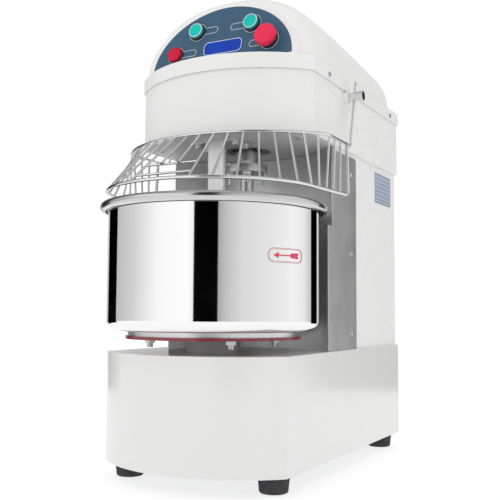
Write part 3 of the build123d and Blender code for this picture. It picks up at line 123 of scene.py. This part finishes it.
# Domed plugs: radius and height in millimetres, then where they sit, as (y, z)
PLUG_PROFILE = ((6.6, -0.2), (6.6, 0.5), (6.1, 1.2), (4.6, 1.8), (2.4, 2.1), (0.05, 2.2))
PLUG_PLACES = ((-0.048, 0.678), (-0.027, 0.678), (0.080, 0.631))
PLUG_STEPS = 32

FLOOR_HALF = 30.0
FLOOR_DROP = 0.0003
FLOOR_SHADE = (0.24, 0.24, 0.24)
FLOOR_GLOW = 0.78
WORLD_GLOW = 1.05

# Light tent round the bowl: its wall's (azimuth in degrees, brightness), with the front at 0
TENT_WALL = (
    (-180, 0.75), (-120, 0.55), (-90, 0.50), (-60, 0.64), (-40, 0.82), (-28, 0.94), (4, 1.0),
    (33, 0.36), (40, 0.50), (48, 0.60), (58, 0.70), (80, 0.76), (106, 0.84), (118, 0.90),
    (138, 0.80), (150, 0.55), (180, 0.75),
)
TENT_RADIUS = 2.6
TENT_LOW = -0.2
TENT_HIGH = 3.2
TENT_CEILING = 0.32
TENT_STRENGTH = 1.1
TENT_STEP_DEGREES = 4

# Black flags: name and the two plan points that each one stands between
FLAGS = (
    ("flag_front", (0.310, -1.829), (0.953, -1.565)),
    ("flag_left", (-1.699, -0.202), (-1.527, 0.590)),
    ("flag_right", (0.827, 1.328), (0.300, 1.560)),
)
FLAG_LOW = 0.0
FLAG_HIGH = 2.6

# Softboxes: name, place, what it is aimed at, size and power
SOFTBOXES = (
    ("top_box", (0.2, -0.3, 2.6), (0.0, 0.0, 0.5), (2.4, 2.0), 4.0),
    ("front_left_box", (-1.7, -1.9, 1.5), (0.0, 0.0, 0.45), (1.4, 1.8), 2.5),
)

# Sockets of a mix node that mixes colours
MIX_SHARE, MIX_FIRST, MIX_SECOND, MIX_RESULT = 0, 6, 7, 2


# ---------------------------------------------------------------- finishes

class Finish:
    """A Principled material whose detail comes from procedural nodes in the object's own coordinates."""

    def __init__(self, name, colour, metallic=0.0, roughness=0.5):
        self.material = bpy.data.materials.new(name)
        self.material.use_nodes = True
        self.material.diffuse_color = (*colour, 1.0)
        self.tree = self.material.node_tree
        self.shader = self.tree.nodes["Principled BSDF"]
        self.colour = colour
        self.set("Base Color", (*colour, 1.0))
        self.set("Metallic", metallic)
        self.set("Roughness", roughness)
        self.place = self.node("ShaderNodeTexCoord").outputs["Object"]

    def node(self, kind, **settings):
        """A new node of the material, with its settings."""
        made = self.tree.nodes.new(kind)
        for name, value in settings.items():
            setattr(made, name, value)
        return made

    def set(self, socket, value):
        """Sets a socket of the shader to one value all over the surface."""
        self.shader.inputs[socket].default_value = value

    def link(self, output, socket):
        """Joins a node's output to a socket."""
        self.tree.links.new(output, socket)
        return self

    def stretched(self, scale):
        """The object's coordinates, scaled by a different amount along each axis."""
        mapping = self.node("ShaderNodeMapping")
        mapping.inputs["Scale"].default_value = scale
        self.link(self.place, mapping.inputs["Vector"])
        return mapping.outputs["Vector"]

    def noise(self, scale, detail=3.0, stretch=None):
        """Soft noise, stretched along the axes where a stretch is given."""
        made = self.node("ShaderNodeTexNoise")
        made.inputs["Scale"].default_value = scale
        made.inputs["Detail"].default_value = detail
        self.link(self.stretched(stretch) if stretch else self.place, made.inputs["Vector"])
        return made.outputs["Fac"]

    def cells(self, scale):
        """Distance to the nearest of many scattered points."""
        made = self.node("ShaderNodeTexVoronoi")
        made.inputs["Scale"].default_value = scale
        self.link(self.place, made.inputs["Vector"])
        return made.outputs["Distance"]

    def ranged(self, value, low, high, start=0.3, end=0.7):
        """The value, spread from start and end to low and high."""
        made = self.node("ShaderNodeMapRange")
        self.link(value, made.inputs["Value"])
        limits = {"From Min": start, "From Max": end, "To Min": low, "To Max": high}
        for socket, number in limits.items():
            made.inputs[socket].default_value = number
        return made.outputs["Result"]

    def vary_colour(self, value, other):
        """The base colour drifts towards another one where value is high."""
        mix = self.node("ShaderNodeMix", data_type="RGBA")
        mix.inputs[MIX_FIRST].default_value = (*self.colour, 1.0)
        mix.inputs[MIX_SECOND].default_value = (*other, 1.0)
        self.link(self.ranged(value, 0.0, 1.0, 0.35, 0.65), mix.inputs[MIX_SHARE])
        self.link(mix.outputs[MIX_RESULT], self.shader.inputs["Base Color"])
        return self

    def vary_roughness(self, value, low, high):
        """The roughness runs from low to high with the value."""
        return self.link(self.ranged(value, low, high), self.shader.inputs["Roughness"])

    def bump(self, value, depth, strength=1.0):
        """Relief of a depth in metres, on top of any relief already there."""
        made = self.node("ShaderNodeBump")
        made.inputs["Strength"].default_value = strength
        made.inputs["Distance"].default_value = depth
        self.link(value, made.inputs["Height"])
        normal = self.shader.inputs["Normal"]
        if normal.is_linked:
            self.link(normal.links[0].from_socket, made.inputs["Normal"])
        return self.link(made.outputs["Normal"], normal)


def enamel(name, colour, roughness=0.2, coat=0.5, peel=0.00003, drift=0.96, gloss=0.5):
    """Stoved gloss enamel: orange peel, faint colour drift and slightly uneven gloss."""
    finish = Finish(name, colour, roughness=roughness)
    finish.set("Specular IOR Level", gloss)
    finish.set("Coat Weight", coat)
    finish.set("Coat Roughness", 0.06)
    finish.vary_colour(finish.noise(9.0), [c * drift for c in colour])
    finish.vary_roughness(finish.noise(60.0, 4.0), roughness * 0.8, roughness * 1.3)
    return finish.bump(finish.noise(420.0, 1.5), peel)


def steel(name, colour, roughness, stretch, depth=0.000006, drift=0.9, smudge=0.3):
    """Bare steel whose grain runs along the axis with the small stretch; smudges change its gloss."""
    finish = Finish(name, colour, metallic=1.0, roughness=roughness)
    grain = finish.noise(1.0, 4.0, stretch)
    finish.vary_colour(grain, [c * drift for c in colour])
    cloud = finish.noise(22.0, 4.0)
    both = finish.node("ShaderNodeMath", operation="MULTIPLY_ADD")
    both.inputs[1].default_value = smudge
    finish.link(cloud, both.inputs[0]).link(grain, both.inputs[2])
    finish.vary_roughness(both.outputs[0], roughness * 0.75, roughness * 1.4)
    return finish.bump(grain, depth)


def bowl_steel():
    """Mirror-polished bowl whose curled rim, above its side, is a satin finish whose colour is darkened
    there as painted shade.
    """
    finish = steel("mirror_steel", (0.90, 0.90, 0.90), 0.035, (30.0, 30.0, 700.0), depth=0.0000008,
                   drift=0.985, smudge=0.6)
    height = finish.node("ShaderNodeSeparateXYZ")
    finish.link(finish.place, height.inputs["Vector"])
    # Above the rim's foot the base colour drops to a painted shade and the roughness rises to a satin
    # finish
    rim = finish.ranged(height.outputs["Z"], 0.0, 1.0, BOWL_RIM_LOW, BOWL_RIM_LOW + BOWL_RIM_BLEND)
    for socket, painted_shade_and_satin in (("Base Color", 0.60), ("Roughness", 0.20)):
        mix = finish.node("ShaderNodeMix", data_type="RGBA")
        mix.inputs[MIX_SECOND].default_value = (painted_shade_and_satin, painted_shade_and_satin, painted_shade_and_satin, 1.0)
        finish.link(rim, mix.inputs[MIX_SHARE])
        finish.link(finish.shader.inputs[socket].links[0].from_socket, mix.inputs[MIX_FIRST])
        finish.link(mix.outputs[MIX_RESULT], finish.shader.inputs[socket])
    return finish


def moulded(name, colour, roughness, texture=1500.0, depth=0.00002, drift=0.88, coat=0.0, gloss=0.5):
    """Moulded plastic or rubber: fine spark-eroded texture and a faint flow pattern."""
    finish = Finish(name, colour, roughness=roughness)
    finish.set("Specular IOR Level", gloss)
    finish.set("Coat Weight", coat)
    finish.set("Coat Roughness", 0.08)
    finish.vary_colour(finish.noise(35.0, 3.0), [c * drift for c in colour])
    finish.vary_roughness(finish.noise(120.0, 4.0), roughness * 0.85, min(1.0, roughness * 1.2))
    return finish.bump(finish.noise(texture, 2.0), depth)


def cast(name, colour):
    """Painted casting: sand-cast skin under paint, with small pits."""
    roughness = 0.45
    finish = Finish(name, colour, roughness=roughness)
    finish.vary_colour(finish.noise(28.0, 5.0), [c * 0.85 for c in colour])
    finish.vary_roughness(finish.noise(90.0, 4.0), roughness * 0.8, roughness * 1.3)
    finish.bump(finish.noise(260.0, 4.0), 0.00025)
    return finish.bump(finish.ranged(finish.cells(160.0), 0.0, 1.0, 0.0, 0.25), 0.0001, 0.5)


ACROSS_Z = (60.0, 60.0, 2600.0)     # turning marks round a vertical axis
ALONG_Z = (1900.0, 1900.0, 14.0)    # brush lines that run up and down
ALL_WAYS = (700.0, 700.0, 700.0)

FINISHES = {
    "white_paint": enamel("gloss_white_enamel", (0.775, 0.775, 0.77), 0.40, coat=0.04, peel=0.000002,
                          drift=0.99, gloss=0.25),
    "polished_steel": bowl_steel(),
    "brushed_steel": steel("brushed_steel", (0.74, 0.74, 0.745), 0.28, ALONG_Z, depth=0.00001),
    "bright_rod": steel("bright_rod", (0.80, 0.80, 0.80), 0.12, ALL_WAYS, depth=0.000004),
    "zinc_fastener": steel("zinc_plate", (0.68, 0.69, 0.70), 0.24, ALL_WAYS, depth=0.00001, drift=0.8),
    "structural_steel": enamel("grey_primer", (0.24, 0.25, 0.27), 0.42, coat=0.0, peel=0.00008, drift=0.8),
    "turned_steel": steel("turned_steel", (0.56, 0.56, 0.57), 0.22, ACROSS_Z, depth=0.00001),
    "hub_grey": cast("grey_casting", (0.62, 0.63, 0.64)),
    "turntable_red": enamel("red_enamel", (0.24, 0.022, 0.032), 0.28, coat=0.3, peel=0.00005, drift=0.75),
    "black_rubber": moulded("black_rubber", (0.022, 0.022, 0.024), 0.72, 900.0, 0.00006, 1.6),
    "black_plastic": moulded("black_plastic", (0.022, 0.014, 0.018), 0.36, drift=1.5),
    "slate_panel": moulded("slate_film", (0.045, 0.108, 0.178), 0.42, 1100.0, 0.000012, 0.93, gloss=0.2),
    "badge_blue": moulded("blue_badge", (0.002, 0.050, 0.46), 0.22, coat=0.03, drift=0.8, gloss=0.15),
    "lamp_red": moulded("red_lens", (0.64, 0.0, 0.036), 0.14, coat=0.12, drift=0.8, gloss=0.15),
    "button_green": moulded("teal_cap", (0.0, 0.52, 0.45), 0.24, coat=0.05, drift=0.92, gloss=0.15),
    "button_red": moulded("red_cap", (0.80, 0.022, 0.080), 0.26, coat=0.05, drift=0.92, gloss=0.2),
    "white_plastic": moulded("white_plastic", (0.82, 0.82, 0.81), 0.3, drift=0.97),
    "plate_grey": enamel("foil_plate", (0.40, 0.455, 0.55), 0.35, coat=0.0, peel=0.00001),
    "motor_grey": cast("motor_enamel", (0.10, 0.16, 0.23)),
}
OUTLINE_FILM = moulded("pale_print", (0.66, 0.70, 0.74), 0.4, drift=0.95)
DECAL_RED = moulded("red_decal", (0.74, 0.05, 0.10), 0.35, drift=0.9)
DECAL_GREY = moulded("grey_decal", (0.34, 0.28, 0.30), 0.35, drift=0.9)
PLATE_PRINT = moulded("plate_print", (0.06, 0.09, 0.17), 0.45, drift=0.9)

# The base's paint is glossier than the other white paint, and its colour is set darker as painted shade
NODE_FINISHES = {
    "base_housing": enamel("base_enamel_painted_shade", (0.73, 0.73, 0.725), 0.15, coat=0.1, peel=0.000002,
                           drift=0.99, gloss=0.45),
}

for part in frame["record"]["subparts"]:
    shown = frame["nodes"][part["node"]]
    finish = NODE_FINISHES.get(part["node"], FINISHES[part["material_slot"]])
    for place in shown.material_slots:
        place.material = finish.material
    if not shown.material_slots:
        shown.data.materials.append(finish.material)


# ---------------------------------------------------------------- mesh helpers

def show(name, work, finish):
    """Turns a finished bmesh into an object of the scene."""
    mesh = bpy.data.meshes.new(name)
    work.to_mesh(mesh)
    work.free()
    mesh.materials.append(finish.material)
    made = bpy.data.objects.new(name, mesh)
    bpy.context.scene.collection.objects.link(made)
    return made


def add_piece(name, work, body, slot, finish=None):
    """Shows a bmesh as a piece that rides on a CAD body, in a record slot's finish or its own."""
    bmesh.ops.recalc_face_normals(work, faces=work.faces)
    piece = show(name, work, finish or FINISHES[slot])
    for face in piece.data.polygons:
        face.use_smooth = True
    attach(piece, body)


def strip(work, path, width, place, thick=PRINT_THICK, closed=True):
    """A line of print along a flat path, laid on a surface by place(across, up, proud)."""
    count = len(path)
    rings = []
    for index, point in enumerate(path):
        before = Vector(path[(index - 1) % count] if closed else path[max(index - 1, 0)])
        after = Vector(path[(index + 1) % count] if closed else path[min(index + 1, count - 1)])
        run = (after - before).normalized()
        side = Vector((-run.y, run.x)) * width / 2
        here = Vector(point)
        corners = [(here - side, 0.0), (here - side, thick), (here + side, thick), (here + side, 0.0)]
        rings.append([work.verts.new(place(flat.x, flat.y, proud)) for flat, proud in corners])
    for index in range(count if closed else count - 1):
        here, there = rings[index], rings[(index + 1) % count]
        for corner in range(4):
            nearby = (corner + 1) % 4
            work.faces.new((here[corner], here[nearby], there[nearby], there[corner]))
    if not closed:
        work.faces.new(rings[0])
        work.faces.new(rings[-1][::-1])


def blade(work, outline, place):
    """A printed shape between a lower and an upper edge: outline holds (across, low, high) stations."""
    rings = []
    for across, low, high in outline:
        corners = ((low, 0.0), (low, PRINT_THICK), (high, PRINT_THICK), (high, 0.0))
        rings.append([work.verts.new(place(across, up, proud)) for up, proud in corners])
    for here, there in zip(rings, rings[1:]):
        for corner in range(4):
            nearby = (corner + 1) % 4
            work.faces.new((here[corner], here[nearby], there[nearby], there[corner]))
    work.faces.new(rings[0])
    work.faces.new(rings[-1][::-1])


def arc(centre, radius, start, end, steps):
    """Points on an arc, from one angle to another."""
    angles = [start + (end - start) * index / steps for index in range(steps + 1)]
    return [(centre[0] + radius * cos(angle), centre[1] + radius * sin(angle)) for angle in angles]


def lathe(work, profile, centre, axis, steps=48):
    """Turns a profile of (radius, height) points about an axis through a centre."""
    turn = Vector(axis).normalized().to_track_quat("Z", "Y").to_matrix()
    rings = []
    for radius, height in profile:
        angles = [2 * pi * k / steps for k in range(steps)]
        points = [turn @ Vector((radius * cos(angle), radius * sin(angle), height)) for angle in angles]
        rings.append([work.verts.new(Vector(centre) + point) for point in points])
    for here, there in zip(rings, rings[1:]):
        for k in range(steps):
            nearby = (k + 1) % steps
            work.faces.new((here[k], here[nearby], there[nearby], there[k]))
    return rings


# ---------------------------------------------------------------- control face

def face_point(across, up, proud=0.0):
    """Point on the control face, from its foot at the middle, and so far out from it."""
    return FACE_FOOT + Vector((across, 0.0, 0.0)) + FACE_UP * up + FACE_OUT * proud


def control_outline(centre, radius, reach, lift):
    """Outline of a control: a circle that opens into a round-ended name field on one side."""
    side = 1 if reach > 0 else -1
    rise = asin((NAME_FIELD_HALF + lift) / radius)
    drop = asin((NAME_FIELD_HALF - lift) / radius)
    points = arc((0, 0), radius, rise, 2 * pi - drop, CIRCLE_STEPS)
    points += arc((abs(reach), lift), NAME_FIELD_HALF, -pi / 2, pi / 2, FIELD_END_STEPS)
    return [(centre[0] + side * x, centre[1] + y) for x, y in points]


def make_panel_outlines():
    """Pale line of print round each control and its blank name field."""
    work = bmesh.new()
    for centre, radius, reach, lift in CONTROL_PRINTS:
        strip(work, control_outline(centre, radius, reach, lift), PANEL_LINE, face_point)
    add_piece("panel_outlines", work, "machine", "slate_panel", OUTLINE_FILM)


def rounded_outline(half_width, half_height, radius):
    """Closed outline of a rounded rectangle about the origin: its long sides are divided, to be bent."""
    points = []
    for side_x, side_y, start in ((1, 1, 0.0), (-1, 1, pi / 2), (-1, -1, pi), (1, -1, 3 * pi / 2)):
        centre = (side_x * (half_width - radius), side_y * (half_height - radius))
        points += arc(centre, radius, start, start + pi / 2, CORNER_STEPS)
        if side_x == side_y:
            span = 2 * (half_width - radius)
            points += [(centre[0] - side_x * span * k / SIDE_DIVISIONS, side_y * half_height)
                       for k in range(1, SIDE_DIVISIONS)]
    return points


def make_badge_border():
    """Pale raised rim round the blank badge."""
    def place(across, up, proud):
        return face_point(BADGE_AT[0] + across, BADGE_AT[1] + up, BADGE_THICK + proud)

    work = bmesh.new()
    strip(work, rounded_outline(*BADGE_BORDER), BADGE_BORDER_LINE, place, BADGE_BORDER_RISE)
    add_piece("badge_border", work, "machine", "badge_blue", OUTLINE_FILM)


def make_cap_rims():
    """Pale trim ring round each green cap, which moves with its button."""
    for name, place in (("fast", FAST_AT), ("slow", SLOW_AT)):
        work = bmesh.new()
        lathe(work, [(r * MM, h * MM) for r, h in CAP_RIM_PROFILE], face_point(*place), FACE_OUT)
        add_piece(f"{name}_cap_rim", work, f"{name}_button_unit", "button_green", OUTLINE_FILM)


# ---------------------------------------------------------------- labels and side fittings

def bowl_point(across, up, proud=0.0):
    """Point on the bowl's side: across is measured round it from the arrow's middle."""
    angle = ARROW_TURN + across / BOWL_RADIUS
    radius = BOWL_RADIUS + proud
    x = BOWL_AXIS[0] + radius * sin(angle)
    y = BOWL_AXIS[1] - radius * cos(angle)
    return Vector((x, y, ARROW_HEIGHT + up))


def make_rotation_arrow():
    """Red arrow in a rounded frame on the bowl: which way the bowl turns."""
    work = bmesh.new()
    strip(work, rounded_outline(*ARROW_FRAME_OUTER), OUTER_LINE, bowl_point)
    add_piece("arrow_frame", work, "bowl_unit", "turntable_red", DECAL_GREY)
    work = bmesh.new()
    strip(work, rounded_outline(*ARROW_FRAME_INNER), INNER_LINE, bowl_point)
    blade(work, [(x * MM, -h * MM, h * MM) for x, h in ARROW_STATIONS], bowl_point)
    for side in (-1, 1):
        outline = [(x * MM, min(side * low, side * high) * MM, max(side * low, side * high) * MM)
                   for x, low, high in ARROW_TAIL]
        blade(work, outline, bowl_point)
    add_piece("rotation_arrow", work, "bowl_unit", "turntable_red", DECAL_RED)


def make_plate_rules():
    """Border and ruled lines of the blank data plate."""
    low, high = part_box("rating_plate")
    middle = (low + high) / 2
    half_y, half_z = (high.y - low.y) / 2, (high.z - low.z) / 2

    def place(across, up, proud):
        return Vector((high.x + proud, middle.y + across, middle.z + up))

    work = bmesh.new()
    border = rounded_outline(half_y - PLATE_INSET, half_z - PLATE_INSET, PLATE_INSET)
    strip(work, border, OUTER_LINE, place, PLATE_RISE)
    for row in range(RULE_COUNT):
        up = half_z * (RULE_TOP - RULE_STEP * row)
        rule = [(-half_y + RULE_INSET, up), (0.0, up), (half_y - RULE_INSET, up)]
        strip(work, rule, RULE_LINE, place, PLATE_RISE, closed=False)
    add_piece("plate_rules", work, "machine", "plate_grey", PLATE_PRINT)


def make_side_plugs():
    """White domed plugs in the head's sides: a pair ahead of the guard's pivot, one behind and below it."""
    side_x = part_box("head_casing")[1].x
    profile = [(r * MM, h * MM) for r, h in PLUG_PROFILE]
    work = bmesh.new()
    for side in (-1, 1):
        for y, z in PLUG_PLACES:
            rings = lathe(work, profile, (side * side_x, y, z), (side, 0, 0), PLUG_STEPS)
            work.faces.new(rings[-1])
    add_piece("side_plugs", work, "machine", "white_paint")


make_panel_outlines()
make_badge_border()
make_cap_rims()
make_rotation_arrow()
make_plate_rules()
make_side_plugs()


# ---------------------------------------------------------------- stage, light and camera

def make_floor():
    """Plain pale floor with a faint glow of its own, just under the feet."""
    finish = Finish("floor_white", FLOOR_SHADE, roughness=0.9)
    finish.set("Specular IOR Level", 0.1)
    finish.set("Emission Color", (1.0, 1.0, 1.0, 1.0))
    finish.set("Emission Strength", FLOOR_GLOW)
    finish.vary_roughness(finish.noise(30.0), 0.85, 0.95)
    work = bmesh.new()
    bmesh.ops.create_grid(work, x_segments=8, y_segments=8, size=FLOOR_HALF)
    floor = show("floor", work, finish)
    floor.location.z = -FLOOR_DROP


def aim(thing, place, target):
    """Puts a light in its place and turns it towards a target."""
    thing.location = place
    thing.rotation_mode = "QUATERNION"
    thing.rotation_quaternion = (Vector(place) - Vector(target)).to_track_quat("Z", "Y")


def add_softbox(name, place, target, size, power):
    """Soft rectangular light that the camera does not see."""
    light = bpy.data.lights.new(name, "AREA")
    light.shape = "RECTANGLE"
    light.size, light.size_y = size
    light.energy = power
    lamp = bpy.data.objects.new(name, light)
    bpy.context.scene.collection.objects.link(lamp)
    aim(lamp, place, target)
    lamp.visible_camera = False


def hide_from_all_but_gloss(thing):
    """Leaves an object of the stage to be seen in reflections only."""
    thing.visible_camera = False
    thing.visible_diffuse = False
    thing.visible_shadow = False


def add_flag(name, start, end):
    """Black studio flag that stands between two plan points: it shows only in reflections."""
    work = bmesh.new()
    corners = ((*start, FLAG_LOW), (*end, FLAG_LOW), (*end, FLAG_HIGH), (*start, FLAG_HIGH))
    work.faces.new([work.verts.new(corner) for corner in corners])
    hide_from_all_but_gloss(show(name, work, BLACK_CLOTH))


def tent_cloth():
    """Cloth that glows with the brightness painted on the tent."""
    cloth = Finish("tent_cloth", (0.0, 0.0, 0.0), roughness=1.0)
    cloth.set("Specular IOR Level", 0.0)
    cloth.set("Emission Strength", TENT_STRENGTH)
    painted = cloth.node("ShaderNodeVertexColor", layer_name="shade")
    return cloth.link(painted.outputs["Color"], cloth.shader.inputs["Emission Color"])


def add_painted_face(work, shade, corners, glows):
    """Adds a face of the tent, with a brightness painted on each corner."""
    face = work.faces.new([work.verts.new(corner) for corner in corners])
    for loop, glow in zip(face.loops, glows):
        loop[shade] = (glow, glow, glow, 1.0)


def add_tent():
    """Light tent with a dim ceiling round the bowl, seen only in reflections."""
    work = bmesh.new()
    shade = work.loops.layers.float_color.new("shade")
    for (start, dim), (end, bright) in zip(TENT_WALL, TENT_WALL[1:]):
        steps = max(1, round((end - start) / TENT_STEP_DEGREES))
        for index in range(steps):
            edges = []
            for share in (index / steps, (index + 1) / steps):
                angle = radians(start + (end - start) * share)
                foot = (BOWL_AXIS[0] + TENT_RADIUS * sin(angle), BOWL_AXIS[1] - TENT_RADIUS * cos(angle))
                edges.append((foot, dim + (bright - dim) * share))
            (here, glow_here), (there, glow_there) = edges
            wall = ((*here, TENT_LOW), (*there, TENT_LOW), (*there, TENT_HIGH), (*here, TENT_HIGH))
            add_painted_face(work, shade, wall, (glow_here, glow_there, glow_there, glow_here))
            roof = ((*there, TENT_HIGH), (*here, TENT_HIGH), (*BOWL_AXIS, TENT_HIGH))
            add_painted_face(work, shade, roof, (TENT_CEILING,) * 3)
    hide_from_all_but_gloss(show("tent", work, tent_cloth()))


def make_world():
    """Even white surroundings."""
    world = bpy.data.worlds.new("studio")
    bpy.context.scene.world = world
    world.use_nodes = True
    background = world.node_tree.nodes["Background"]
    background.inputs["Color"].default_value = (1.0, 1.0, 1.0, 1.0)
    background.inputs["Strength"].default_value = WORLD_GLOW


def place_camera():
    """Camera at its named place, turned by its yaw, pitch and roll."""
    lens = bpy.data.cameras.new("camera")
    lens.lens = CAMERA_LENS
    lens.sensor_width = 36.0
    lens.clip_start, lens.clip_end = 0.05, 100.0
    camera = bpy.data.objects.new("camera", lens)
    bpy.context.scene.collection.objects.link(camera)
    right = Vector((cos(CAMERA_YAW), -sin(CAMERA_YAW), 0.0))
    level = cos(CAMERA_PITCH)
    ahead = Vector((sin(CAMERA_YAW) * level, cos(CAMERA_YAW) * level, sin(CAMERA_PITCH)))
    above = right.cross(ahead)
    across = cos(CAMERA_ROLL) * right + sin(CAMERA_ROLL) * above
    upwards = -sin(CAMERA_ROLL) * right + cos(CAMERA_ROLL) * above
    turn = Matrix((across, upwards, -ahead)).transposed().to_4x4()
    camera.matrix_world = Matrix.Translation(CAMERA_PLACE) @ turn
    bpy.context.scene.camera = camera


BLACK_CLOTH = Finish("black_cloth", (0.0, 0.0, 0.0), roughness=1.0)
BLACK_CLOTH.set("Specular IOR Level", 0.0)

make_floor()
add_tent()
for name, start, end in FLAGS:
    add_flag(name, start, end)
for name, place, target, size, power in SOFTBOXES:
    add_softbox(name, place, target, size, power)
make_world()
place_camera()

bpy.context.scene.view_settings.view_transform = "Standard"
bpy.context.scene.cycles.use_denoising = True
